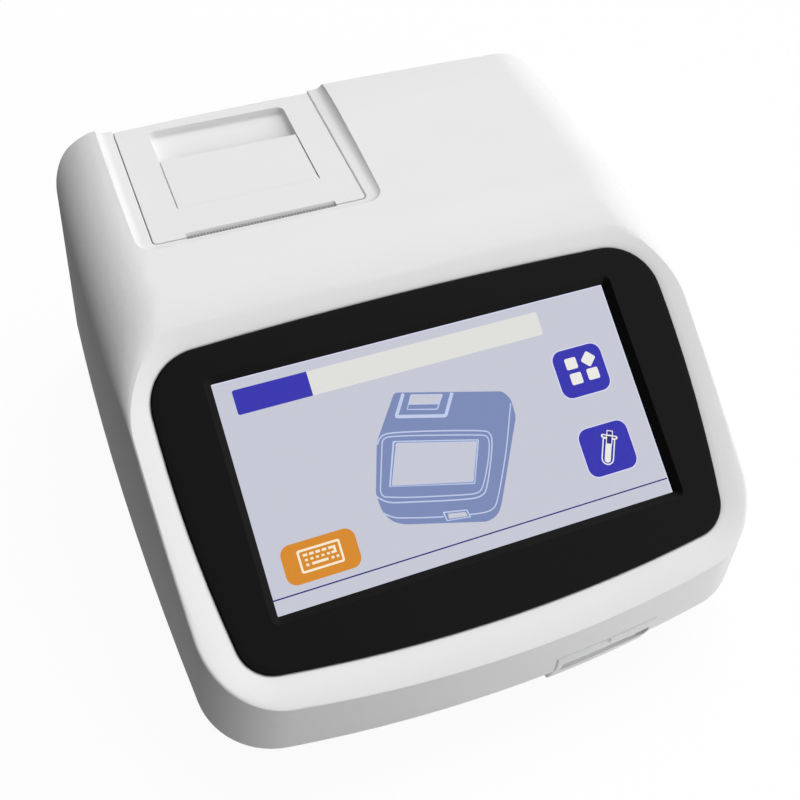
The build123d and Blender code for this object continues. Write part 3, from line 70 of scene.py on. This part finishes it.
def paint(name, colour, rough, grain=0.10, grain_size=0.0004, mottle=0.02, metal=0.0, gloss=0.5):
    """A finish with a fine surface grain and a slight drift of colour and sheen."""
    material = bpy.data.materials.new(name)
    material.use_nodes = True
    nodes = material.node_tree.nodes
    links = material.node_tree.links
    shader = nodes["Principled BSDF"]
    shader.inputs["Metallic"].default_value = metal
    shader.inputs["Specular IOR Level"].default_value = gloss
    place = nodes.new("ShaderNodeTexCoord")
    drift = nodes.new("ShaderNodeTexNoise")
    drift.inputs["Scale"].default_value = drift_scale
    drift.inputs["Detail"].default_value = 3.0
    links.new(place.outputs["Object"], drift.inputs["Vector"])
    tint = nodes.new("ShaderNodeMix")
    tint.name = "tint"
    tint.data_type = "RGBA"
    tint.inputs["A"].default_value = (*[c * (1 - mottle) for c in colour], 1)
    tint.inputs["B"].default_value = (*[min(1, c * (1 + mottle)) for c in colour], 1)
    links.new(drift.outputs["Fac"], tint.inputs["Factor"])
    links.new(tint.outputs["Result"], shader.inputs["Base Color"])
    sheen = nodes.new("ShaderNodeMapRange")
    sheen.inputs["To Min"].default_value = rough * (1 - roughness_drift)
    sheen.inputs["To Max"].default_value = min(1, rough * (1 + roughness_drift))
    links.new(drift.outputs["Fac"], sheen.inputs["Value"])
    links.new(sheen.outputs["Result"], shader.inputs["Roughness"])
    skin = nodes.new("ShaderNodeTexNoise")
    skin.inputs["Scale"].default_value = 1.0 / grain_size
    skin.inputs["Detail"].default_value = 2.0
    links.new(place.outputs["Object"], skin.inputs["Vector"])
    bump = nodes.new("ShaderNodeBump")
    bump.inputs["Strength"].default_value = grain
    bump.inputs["Distance"].default_value = grain_depth
    links.new(skin.outputs["Fac"], bump.inputs["Height"])
    links.new(bump.outputs["Normal"], shader.inputs["Normal"])
    return material


bodies = frame["record"]["behaviour"]["bodies"]
body_of = {node: body for body, nodes in bodies.items() for node in nodes}
joined = 0.000002


def smooth(finish, *nodes, crease=24):
    """Shows CAD pieces through copies whose faces are joined and smoothed."""
    for node in nodes:
        mesh = frame["nodes"][node].data.copy()
        mesh.name = node + "_skin"
        shape = bmesh.new()
        shape.from_mesh(mesh)
        bmesh.ops.remove_doubles(shape, verts=shape.verts, dist=joined)
        bmesh.ops.dissolve_degenerate(shape, edges=shape.edges, dist=joined / 2)
        for face in shape.faces:
            face.smooth = True
        for edge in shape.edges:
            edge.smooth = edge.is_manifold and edge.calc_face_angle(0) < radians(crease)
        shape.to_mesh(mesh)
        shape.free()
        mesh.materials.clear()
        mesh.materials.append(finish)
        piece = bpy.data.objects.new(node + "_skin", mesh)
        bpy.context.scene.collection.objects.link(piece)
        even = piece.modifiers.new("even shading", "WEIGHTED_NORMAL")
        even.keep_sharp = True
        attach(piece, body_of[node])
        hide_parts(node)


white = paint("white moulding", (0.808, 0.809, 0.808), 0.42, grain=0.06, gloss=0.3)
smooth(white, "upper_housing", "lower_housing")


# Screen bezel: satin black moulded frame, snapped into the sloping face. It is crowned, with a
# splayed lip down to the glass.
black = paint("satin black", (0.0045, 0.0045, 0.0048), 0.30, grain=0.04, gloss=0.10)
smooth(black, "screen_bezel")


# Display: a lit liquid crystal panel under clear touch glass. The lit picture is made of thin
# flat shapes laid on the panel, in millimetres from its middle.
screen_tilt = radians(28.0)
to_screen = Matrix.Translation((0, -0.0495, 0.0817)) @ Matrix.Rotation(screen_tilt, 4, "X")
picture_depth = -0.0028
layer_step = 0.00004
shades = {
    "ground": (203, 205, 218), "blue": (60, 58, 178), "pale": (240, 239, 234),
    "line": (52, 48, 128), "orange": (219, 142, 50), "cream": (252, 240, 214),
    "slate": (127, 143, 187), "edge": (198, 209, 240), "halo": (222, 222, 248),
    "bar": (228, 228, 224),
}
backlight = 1.08
picture = bmesh.new()


def lit(name, colour):
    """A colour that the display gives off, written as read off the photograph."""
    light = [((c / 255 + 0.055) / 1.055) ** 2.4 for c in colour]
    material = bpy.data.materials.new(name)
    material.use_nodes = True
    shader = material.node_tree.nodes["Principled BSDF"]
    shader.inputs["Base Color"].default_value = (0.0, 0.0, 0.0, 1)
    shader.inputs["Roughness"].default_value = 0.5
    shader.inputs["Specular IOR Level"].default_value = 0.0
    shader.inputs["Emission Color"].default_value = (*light, 1)
    shader.inputs["Emission Strength"].default_value = backlight
    return material


def lay(flat, layer, colour):
    """Adds a flat shape to the picture, face up."""
    for face in flat.faces:
        face.material_index = list(shades).index(colour)
    bmesh.ops.translate(flat, vec=(0, 0, picture_depth + layer_step * layer), verts=flat.verts)
    spare = bpy.data.meshes.new("spare")
    flat.to_mesh(spare)
    flat.free()
    picture.from_mesh(spare)
    bpy.data.meshes.remove(spare)


def plate(points, layer, colour, corner=0.0, ring=0.0):
    """A flat shape with rounded corners, or a ring of that outline, in millimetres."""
    flat = bmesh.new()
    flat.faces.new([flat.verts.new((x / 1000, y / 1000, 0)) for x, y in points])
    if corner:
        bmesh.ops.bevel(flat, geom=flat.verts[:], offset=corner / 1000, segments=6,
                        profile=0.5, affect="VERTICES", offset_type="OFFSET", material=-1)
    flat.normal_update()
    if ring:
        middle = flat.faces[:]
        bmesh.ops.inset_region(flat, faces=middle, thickness=ring / 1000, use_boundary=True,
                               use_even_offset=True)
        bmesh.ops.delete(flat, geom=middle, context="FACES")
    flat.normal_update()
    for face in flat.faces:
        if face.normal.z < 0:
            face.normal_flip()
    lay(flat, layer, colour)


def stroke(points, width, layer, colour):
    """A drawn line that bends softly at its points, pressed flat."""
    curve = bpy.data.curves.new("stroke", "CURVE")
    curve.dimensions = "3D"
    curve.bevel_depth = width / 2000
    curve.bevel_resolution = 0
    line = curve.splines.new("NURBS")
    line.points.add(len(points) - 1)
    for point, (x, y) in zip(line.points, points):
        point.co = (x / 1000, y / 1000, 0, 1)
    line.order_u = 3
    line.use_endpoint_u = True
    line.resolution_u = 6
    holder = bpy.data.objects.new("stroke", curve)
    drawn = bpy.data.meshes.new_from_object(holder)
    flat = bmesh.new()
    flat.from_mesh(drawn)
    bmesh.ops.scale(flat, vec=(1, 1, 0.02), verts=flat.verts)
    lay(flat, layer, colour)
    bpy.data.objects.remove(holder)
    bpy.data.meshes.remove(drawn)
    bpy.data.curves.remove(curve)


def rect(x0, x1, y0, y1):
    """Four corners of an upright rectangle."""
    return [(x0, y0), (x1, y0), (x1, y1), (x0, y1)]


def turned(points, angle, cx, cy):
    """Points turned about the origin and moved to a middle."""
    return [(cx + x * cos(angle) - y * sin(angle), cy + x * sin(angle) + y * cos(angle))
            for x, y in points]


plate(rect(-77.4, 77.4, -42.0, 42.0), 1, "halo")
plate(rect(-77.0, 77.0, -41.6, 41.6), 2, "ground")
plate(rect(-70.6, -43.0, 29.0, 38.1), 3, "blue", 0.8)
plate(rect(-44.0, 48.2, 29.0, 38.1), 4, "bar", 0.8)
plate(rect(-46.0, -43.1, 29.0, 38.1), 5, "blue")
plate(rect(-77.0, 77.0, -36.4, -35.9), 3, "line")

# tile with four small squares, one of them turned on its corner
for low, high in ((2.5, 21.1), (-28.4, -9.8)):
    plate(rect(47.6, 68.5, low - 0.4, high + 0.4), 3, "halo", 4.4)
    plate(rect(48.0, 68.1, low, high), 4, "blue", 4.0)
for cx, cy, angle in (
        (55.0, 15.4, 0.0), (62.2, 15.5, 0.785), (55.2, 9.4, 0.0), (62.3, 9.6, 0.0)):
    plate(turned(rect(-2.35, 2.35, -2.2, 2.2), angle, cx, cy), 5, "pale", 0.7)

# tile with a half full tube that leans to the right, with a stopper in its mouth
lean = -0.413
tube = (57.9, -20.0)


def vial(half, bottom, top):
    """An upright shape with a round bottom and a straight top."""
    steps = [radians(15 * i) for i in range(12, 25)]
    round_end = [(half * cos(a), bottom + half + half * sin(a)) for a in steps]
    return round_end + [(half, top), (-half, top)]


plate(turned(vial(2.5, -5.4, 4.9), lean, *tube), 5, "pale", ring=0.5)
plate(turned(vial(1.2, -4.5, 2.5), lean, *tube), 6, "pale")
plate(turned(rect(-3.3, 3.3, 4.7, 6.1), lean, *tube), 7, "pale", 0.65)
plate(turned(rect(-2.6, 2.6, 5.1, 5.65), lean, *tube), 8, "line", 0.2)
plate(turned(rect(-1.2, 1.3, 2.4, 7.8), lean, *tube), 9, "line")
plate(turned(rect(-1.2, 1.3, 2.4, 7.8), lean, *tube), 10, "pale", ring=0.32)
plate(turned(rect(-1.2, 1.3, 5.6, 6.1), lean, *tube), 11, "pale")

# orange key tile
plate(rect(-70.5, -43.3, -33.5, -19.3), 3, "orange", 3.7)
plate(rect(-64.8, -49.1, -30.3, -22.1), 4, "cream", 0.8, ring=0.8)
for i in range(5):
    plate(rect(-62.9 + 2.3 * i, -61.3 + 2.3 * i, -24.7, -23.8), 4, "cream")
for i in range(5):
    plate(rect(-62.6 + 2.0 * i, -61.6 + 2.0 * i, -26.4, -25.6), 4, "cream")
plate([(-52.0, -23.8), (-51.1, -23.8), (-51.1, -26.4), (-53.0, -26.4), (-53.0, -25.6),
       (-52.0, -25.6)], 4, "cream")
for left, right in ((-62.6, -61.6), (-60.5, -54.6), (-53.5, -52.5), (-51.6, -50.7)):
    plate(rect(left, right, -28.2, -27.3), 4, "cream")

# small picture of a bench analyzer: body, lid, screen and mouth, drawn with pale lines
body_outline = [
    (-14.3, 22.4), (25.4, 12.3), (27.6, 8.8), (27.4, 2.0), (12.0, -26.6), (10.2, -29.4),
    (7.6, -31.2), (4.4, -31.8), (-25.0, -24.2), (-28.4, -22.4), (-30.6, -19.6), (-31.6, -16.6),
    (-31.8, -11.0), (-26.0, 6.6), (-21.0, 13.4),
]
lid_trough = [
    (-11.2, 21.2), (-13.6, 17.6), (-15.6, 14.7), (-16.3, 13.7), (-14.9, 13.4), (0.0, 9.6),
    (1.6, 9.2), (2.3, 10.2), (6.6, 16.8),
]
bezel_outer = [
    (-26.0, 5.8), (-24.6, 8.4), (-19.8, 8.9), (13.2, 0.6), (16.4, -1.6), (14.6, -7.4),
    (8.6, -19.6), (6.0, -22.6), (0.2, -22.3), (-23.1, -16.6), (-29.6, -14.9), (-31.9, -11.8),
]
bezel_inner = [
    (-29.8, -10.0), (-24.8, 4.2), (-23.6, 7.4), (-19.6, 7.4), (11.6, -0.8), (15.2, -2.4),
    (12.6, -9.6), (7.2, -19.2), (4.6, -21.2), (-0.6, -20.3), (-20.3, -15.6), (-26.8, -13.6),
    (-30.3, -12.4), (-29.8, -10.0),
]
seam_right = [
    (27.0, 7.2), (23.6, -0.6), (18.9, -10.7), (11.6, -24.0), (8.4, -28.4), (3.0, -28.4),
    (-0.9, -27.5),
]
seam_left = [(-10.5, -25.6), (-17.6, -23.9), (-24.6, -21.9), (-28.4, -20.8), (-31.3, -18.2)]
plate(body_outline, 3, "slate", 1.2)
stroke(lid_trough, 1.25, 4, "edge")
plate([(-8.6, 20.2), (3.2, 17.2), (-0.6, 12.1), (-11.8, 15.1)], 4, "edge", 0.5)
plate([(-8.3, 19.8), (2.6, 17.0), (0.4, 14.3), (-10.2, 17.0)], 5, "ground", 0.2)
plate([(-10.5, 16.7), (0.2, 14.0), (-0.8, 12.6), (-11.3, 15.3)], 5, "slate", 0.2)
stroke(bezel_outer, 0.5, 4, "edge")
stroke(bezel_inner, 0.45, 4, "edge")
plate([(-20.2, 5.6), (11.0, -2.4), (4.4, -17.6), (-26.5, -9.9)], 4, "edge", 0.5)
plate([(-19.7, 5.0), (10.3, -2.7), (4.2, -17.1), (-25.9, -9.9)], 5, "slate", 0.4)
plate([(-19.3, 4.6), (10.0, -2.9), (4.0, -16.7), (-25.5, -9.8)], 6, "edge", 0.4)
plate([(-19.1, 4.3), (9.7, -3.0), (3.9, -16.4), (-25.2, -9.8)], 7, "ground", 0.3)
stroke(seam_right, 0.45, 4, "edge")
stroke(seam_left, 0.45, 4, "edge")
plate([(-10.5, -23.8), (-1.4, -25.5), (-0.8, -28.6), (-10.0, -27.4)], 5, "edge", 0.4)
plate([(-9.9, -24.4), (-1.8, -25.9), (-1.4, -28.2), (-9.6, -27.1)], 6, "slate", 0.3)
plate([(-8.8, -25.0), (-2.3, -26.2), (-2.0, -27.9), (-9.0, -26.8)], 7, "ground", 0.2)

bmesh.ops.transform(picture, matrix=to_screen, verts=picture.verts)
sheet = bpy.data.meshes.new("display_picture")
picture.to_mesh(sheet)
picture.free()
for name, colour in shades.items():
    sheet.materials.append(lit("lit " + name, colour))
shown = bpy.data.objects.new("display_picture", sheet)
bpy.context.scene.collection.objects.link(shown)
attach(shown, "base")


# Touch glass: a clear sheet with ground edges, bonded over the display and held by the bezel.
# It is a hair above the lit picture.
glass_size = (0.165, 0.099, 0.0012)
glass_middle = (0, 0, -0.0018)
ground_edge = 0.0001
clear = bpy.data.materials.new("touch glass")
clear.use_nodes = True
shader = clear.node_tree.nodes["Principled BSDF"]
shader.inputs["Base Color"].default_value = (0.01, 0.01, 0.012, 1)
shader.inputs["Roughness"].default_value = 0.12
shader.inputs["Alpha"].default_value = 0.06
pane = bmesh.new()
bmesh.ops.create_cube(pane, size=1.0)
bmesh.ops.scale(pane, vec=glass_size, verts=pane.verts)
bmesh.ops.bevel(pane, geom=pane.edges[:], offset=ground_edge, segments=1, profile=0.5,
                affect="EDGES", material=-1)
bmesh.ops.translate(pane, vec=glass_middle, verts=pane.verts)
bmesh.ops.transform(pane, matrix=to_screen, verts=pane.verts)
mesh = bpy.data.meshes.new("touch_pane")
pane.to_mesh(mesh)
pane.free()
mesh.materials.append(clear)
cover = bpy.data.objects.new("touch_pane", mesh)
bpy.context.scene.collection.objects.link(cover)
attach(cover, "base")
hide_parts("touch_glass")


# Printer lid: the same white plastic as the housing, with its sprung lever. Steel pins hinge
# it, and the lever's grey cams pry its front edge up.
def dress(finish, *names):
    """Gives CAD pieces a finish of their own."""
    for name in names:
        mesh = frame["nodes"][name].data
        mesh.materials.clear()
        mesh.materials.append(finish)


smooth(white, "printer_lid", "lid_lever")
ground_steel = paint("ground steel", (0.66, 0.66, 0.67), 0.18, grain=0.03, grain_size=0.0002, metal=1.0)
grey = paint("grey moulding", (0.085, 0.088, 0.095), 0.5)
dress(ground_steel, "lid_hinge_pins", "lever_shaft")
dress(grey, "lever_cams")


# Platen: a ground rubber sleeve on a steel shaft that turns in two sintered bushings clipped
# into the lid.
rubber = paint("black rubber", (0.022, 0.022, 0.023), 0.75, grain=0.25, grain_size=0.0006,
               gloss=0.3)
bronze = paint("sintered bronze", (0.46, 0.30, 0.13), 0.42, grain=0.3, grain_size=0.0003,
               metal=1.0)
dress(rubber, "platen_sleeve")
dress(ground_steel, "platen_shaft")
dress(bronze, "platen_bushings")


# Feed train: moulded acetal gears between a small round motor and the platen. The idler turns
# on a steel post in the side plate of the printer frame.
acetal = paint("natural acetal", (0.76, 0.74, 0.68), 0.38)
can = paint("motor can", (0.50, 0.51, 0.52), 0.34, grain=0.08, grain_size=0.0008, metal=1.0)
dress(acetal, "platen_gear", "idler_gear", "feed_gear")
dress(ground_steel, "idler_post", "feed_motor_shaft")
dress(can, "feed_motor")


# Printer frame: grey glass-filled moulding with the paper bay, the thermal head on its sprung
# plate, and the stainless tear bar that shows as a serrated line in front of the lid.
stainless = paint("stainless strip", (0.30, 0.30, 0.30), 0.34, grain=0.05, metal=1.0)
head_metal = paint("head plate", (0.60, 0.61, 0.62), 0.36, grain=0.06, metal=1.0)
dress(grey, "printer_frame")
dress(head_metal, "print_head")
dress(stainless, "head_spring", "tear_bar")


# Paper roll: thermal paper wound on a card core, lying in the bay of the printer frame. Its
# ends show the edges of the windings.
roll_low, roll_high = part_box("paper_roll")
roll_middle = (roll_low + roll_high) / 2
winding = 0.0011
rings_per_unit = 0.31
paper = paint("thermal paper", (0.86, 0.86, 0.85), 0.62, grain=0.04)
nodes = paper.node_tree.nodes
links = paper.node_tree.links
place = nodes.new("ShaderNodeTexCoord")
centre = nodes.new("ShaderNodeMapping")
centre.inputs["Location"].default_value = [-c for c in roll_middle]
turns = nodes.new("ShaderNodeTexWave")
turns.wave_type = "RINGS"
turns.rings_direction = "X"
turns.inputs["Scale"].default_value = rings_per_unit / winding
turns.inputs["Distortion"].default_value = 0.6
layers = nodes.new("ShaderNodeMix")
layers.data_type = "RGBA"
layers.blend_type = "MULTIPLY"
layers.inputs["B"].default_value = (0.90, 0.90, 0.89, 1)
links.new(place.outputs["Object"], centre.inputs["Vector"])
links.new(centre.outputs["Vector"], turns.inputs["Vector"])
links.new(turns.outputs["Fac"], layers.inputs["Factor"])
links.new(nodes["tint"].outputs["Result"], layers.inputs["A"])
links.new(layers.outputs["Result"], nodes["Principled BSDF"].inputs["Base Color"])
core_card = paint("grey card", (0.36, 0.27, 0.18), 0.85, grain=0.3, mottle=0.08)
dress(paper, "paper_roll")
dress(core_card, "paper_core")


# Tray mouth: a white frame proud of the lower housing, with the strip tray behind it. The tray
# carries a grey strip holder and a white reference pad.
pale_grey = paint("pale grey moulding", (0.40, 0.41, 0.43), 0.5)
ceramic = paint("reference white", (0.88, 0.88, 0.88), 0.7, grain=0.02)
smooth(white, "slot_frame", "strip_tray")
dress(pale_grey, "strip_holder")
dress(ceramic, "reference_pad")


# Tray drive: a moulded guide screwed to the floor of the housing, and a flat geared motor. The
# acetal pinion on its shaft drives the rack in the tray's lower edge.
dress(grey, "tray_guide")
dress(can, "tray_motor")
dress(ground_steel, "tray_motor_shaft")
dress(acetal, "tray_pinion")


# Optical head: black light-tight box over the tray, standing on seats of the guide, with a
# clear window in its underside and its circuit board on top.
matt_black = paint("matt black moulding", (0.012, 0.012, 0.013), 0.62, gloss=0.3)
dress(matt_black, "optical_head")
dress(clear, "optical_window")


# Circuit boards: green solder mask with paler tracks, and black parts standing on it. Each
# board is one piece, so height over the board sets the finish.
mask_green = (0.010, 0.075, 0.032)
part_black = (0.016, 0.016, 0.018)
hair = 0.0001


def circuit(name, up, board_top):
    """Green on the board, black on what stands more than a hair above it."""
    material = paint(name, mask_green, 0.32, grain=0.05)
    nodes = material.node_tree.nodes
    links = material.node_tree.links
    place = nodes.new("ShaderNodeTexCoord")
    tracks = nodes.new("ShaderNodeTexBrick")
    tracks.inputs["Color1"].default_value = (*mask_green, 1)
    tracks.inputs["Color2"].default_value = (0.014, 0.095, 0.042, 1)
    tracks.inputs["Mortar"].default_value = (0.030, 0.150, 0.070, 1)
    tracks.inputs["Scale"].default_value = 160.0
    tracks.inputs["Mortar Size"].default_value = 0.03
    height = nodes.new("ShaderNodeVectorMath")
    height.operation = "DOT_PRODUCT"
    height.inputs[1].default_value = up
    above = nodes.new("ShaderNodeMath")
    above.operation = "GREATER_THAN"
    above.inputs[1].default_value = board_top + hair
    cover = nodes.new("ShaderNodeMix")
    cover.data_type = "RGBA"
    cover.inputs["B"].default_value = (*part_black, 1)
    links.new(place.outputs["Object"], tracks.inputs["Vector"])
    links.new(place.outputs["Object"], height.inputs[0])
    links.new(height.outputs["Value"], above.inputs[0])
    links.new(above.outputs["Value"], cover.inputs["Factor"])
    links.new(tracks.outputs["Color"], cover.inputs["A"])
    links.new(cover.outputs["Result"], nodes["Principled BSDF"].inputs["Base Color"])
    return material


board_thickness = 0.0016
screen_down = (to_screen.to_3x3() @ Vector((0, 0, -1))).normalized()
display_vertices = frame["nodes"]["display_board"].data.vertices
display_top = min(vertex.co.dot(screen_down) for vertex in display_vertices) + board_thickness
for node in ("main_board", "led_board"):
    dress(circuit(node + " mask", (0, 0, 1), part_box(node)[0].z + board_thickness), node)
dress(circuit("display_board mask", screen_down, display_top), "display_board")


# Display module behind the glass: a black cased panel on a pressed steel bracket, whose ears
# are screwed to the upper housing.
sheet_steel = paint("zinc sheet", (0.56, 0.57, 0.58), 0.40, grain=0.08, grain_size=0.001, metal=1.0)
dress(matt_black, "display_panel")
dress(sheet_steel, "display_bracket")


# Back panel and speaker: a barrel inlet and two sockets in nickel-plated shells stand on the
# main board, the black power switch is clipped into the wall, and the speaker lies on the floor.
nickel = paint("nickel plate", (0.62, 0.61, 0.59), 0.26, grain=0.04, metal=1.0)
switch_black = paint("switch black", (0.014, 0.014, 0.015), 0.42, gloss=0.4)
dress(nickel, "usb_socket", "serial_socket")
dress(switch_black, "dc_inlet", "power_switch", "power_rocker", "speaker")


# Feet and screws: rubber feet pressed into round sockets in the floor. Zinc-plated screws hold
# the housings, the bracket, the printer frame, the guide and the main board.
zinc = paint("zinc plate", (0.54, 0.54, 0.55), 0.38, grain=0.06, metal=1.0)
dress(rubber, "rubber_feet")
dress(zinc, "housing_screws", "bracket_screws", "frame_screws", "guide_screws", "board_screws")


# Floor: a plain white table with a soft shadow. The camera sees it nearly pure white. What it
# throws back on the object, and what shows of it in gloss, is painted: painted shade on the left,
# dark as under a black card, and painted light, pale, on the right.
white_share = 0.93
white_tone = (0.92, 0.92, 0.92, 1)
# painted shade and light in the floor's colour for bounced rays, and painted reflection in gloss
painted_shade_span = (-0.23, 0.24)
painted_shade_tones = (0.06, 0.95)
painted_reflection_span = (-0.20, 0.05)
painted_reflection_tones = (0.05, 1.0)


def background_rays(tree):
    """Marks rays that show the background, from the camera, off gloss and through glass."""
    ray = tree.nodes.new("ShaderNodeLightPath")
    either = tree.nodes.new("ShaderNodeMath")
    either.operation = "MAXIMUM"
    every = tree.nodes.new("ShaderNodeMath")
    every.operation = "MAXIMUM"
    tree.links.new(ray.outputs["Is Camera Ray"], either.inputs[0])
    tree.links.new(ray.outputs["Is Glossy Ray"], either.inputs[1])
    tree.links.new(either.outputs["Value"], every.inputs[0])
    tree.links.new(ray.outputs["Is Transmission Ray"], every.inputs[1])
    return every.outputs["Value"], ray.outputs["Is Camera Ray"]


def ramp(tree, value, span, tones, kind="LINEAR"):
    """Goes from the first tone to the second while the value crosses the span."""
    node = tree.nodes.new("ShaderNodeMapRange")
    node.interpolation_type = kind
    node.inputs["From Min"].default_value, node.inputs["From Max"].default_value = span
    node.inputs["To Min"].default_value, node.inputs["To Max"].default_value = tones
    tree.links.new(value, node.inputs["Value"])
    return node.outputs["Result"]


def combine(tree, operation, first, second):
    """One step of arithmetic on a value and a second value or a number."""
    node = tree.nodes.new("ShaderNodeMath")
    node.operation = operation
    tree.links.new(first, node.inputs[0])
    if isinstance(second, float):
        node.inputs[1].default_value = second
    else:
        tree.links.new(second, node.inputs[1])
    return node.outputs["Value"]


table_mesh = bpy.data.meshes.new("floor")
flat = bmesh.new()
bmesh.ops.create_grid(flat, x_segments=1, y_segments=1, size=6.0)
flat.to_mesh(table_mesh)
flat.free()
table = bpy.data.materials.new("floor")
table.use_nodes = True
tree = table.node_tree
nodes = tree.nodes
links = tree.links
shader = nodes["Principled BSDF"]
shader.inputs["Roughness"].default_value = 0.9
shader.inputs["Specular IOR Level"].default_value = 0.0
seen, direct = background_rays(tree)
place = nodes.new("ShaderNodeTexCoord")
across = nodes.new("ShaderNodeSeparateXYZ")
tone = nodes.new("ShaderNodeMix")
tone.data_type = "RGBA"
tone.inputs["B"].default_value = white_tone
glow = nodes.new("ShaderNodeEmission")
blend = nodes.new("ShaderNodeMixShader")
links.new(place.outputs["Object"], across.inputs["Vector"])
# painted shade and light: for bounced rays the floor's colour runs from dark on the left to pale on the
# right
links.new(ramp(tree, across.outputs["X"], painted_shade_span, painted_shade_tones), tone.inputs["A"])
links.new(direct, tone.inputs["Factor"])
links.new(tone.outputs["Result"], shader.inputs["Base Color"])
# painted reflection: in gloss the floor glows dark on the left and white on the right
painted_reflection = ramp(tree, across.outputs["X"], painted_reflection_span, painted_reflection_tones)
links.new(combine(tree, "MAXIMUM", painted_reflection, direct), glow.inputs["Strength"])
links.new(combine(tree, "MULTIPLY", seen, white_share), blend.inputs["Fac"])
links.new(shader.outputs["BSDF"], blend.inputs[1])
links.new(glow.outputs["Emission"], blend.inputs[2])
links.new(blend.outputs["Shader"], nodes["Material Output"].inputs["Surface"])
table_mesh.materials.append(table)
floor = bpy.data.objects.new("floor", table_mesh)
bpy.context.scene.collection.objects.link(floor)


# Light: one large soft ceiling, brightest overhead, darker a little to the front and right. A
# black card takes the light on the left, and a low pale panel stands on the right. Gloss and
# glass show the white background, apart from the card.
ceiling_middle = (-0.013, -0.263, 0.965)
ceiling_focus = 5.66
ceiling_level = 10.6
card_span = (-0.60, 0.45)
dim_middle = (0.29, -0.366, 0.877)
dim_span = (0.743, 0.914)
dim_tones = (1, 0.03)
panel_side = (1, 0, 0.05)
panel_span = (0.76, 1.0)
panel_level = 0.55
sky = bpy.data.worlds.new("soft ceiling")
sky.use_nodes = True
tree = sky.node_tree
nodes = tree.nodes
links = tree.links
heading = nodes.new("ShaderNodeTexCoord")


def facing(direction):
    """How far a ray points the given way, from -1 to 1."""
    dot = nodes.new("ShaderNodeVectorMath")
    dot.operation = "DOT_PRODUCT"
    dot.inputs[1].default_value = Vector(direction).normalized()
    links.new(heading.outputs["Generated"], dot.inputs[0])
    return dot.outputs["Value"]


overhead = ramp(tree, facing(ceiling_middle), (-1, 1), (0, 1))
ceiling = combine(tree, "POWER", overhead, ceiling_focus)
card = ramp(tree, facing((1, 0, 0)), card_span, (0, 1), "SMOOTHSTEP")
ceiling = combine(tree, "MULTIPLY", ceiling, card)
dim = ramp(tree, facing(dim_middle), dim_span, dim_tones, "SMOOTHSTEP")
ceiling = combine(tree, "MULTIPLY", ceiling, dim)
ceiling = combine(tree, "MULTIPLY", ceiling, ceiling_level)
panel = ramp(tree, facing(panel_side), panel_span, (0, panel_level), "SMOOTHSTEP")
backdrop = nodes["Background"]
links.new(combine(tree, "ADD", ceiling, panel), backdrop.inputs["Strength"])
backdrop.inputs["Color"].default_value = (1, 1, 1, 1)
plain = nodes.new("ShaderNodeBackground")
plain.inputs["Color"].default_value = (1, 1, 1, 1)
blend = nodes.new("ShaderNodeMixShader")
seen, direct = background_rays(tree)
links.new(combine(tree, "MAXIMUM", card, direct), plain.inputs["Strength"])
links.new(seen, blend.inputs["Fac"])
links.new(backdrop.outputs["Background"], blend.inputs[1])
links.new(plain.outputs["Background"], blend.inputs[2])
links.new(blend.outputs["Shader"], nodes["World Output"].inputs["Surface"])
bpy.context.scene.world = sky

bpy.context.scene.view_settings.view_transform = "Standard"
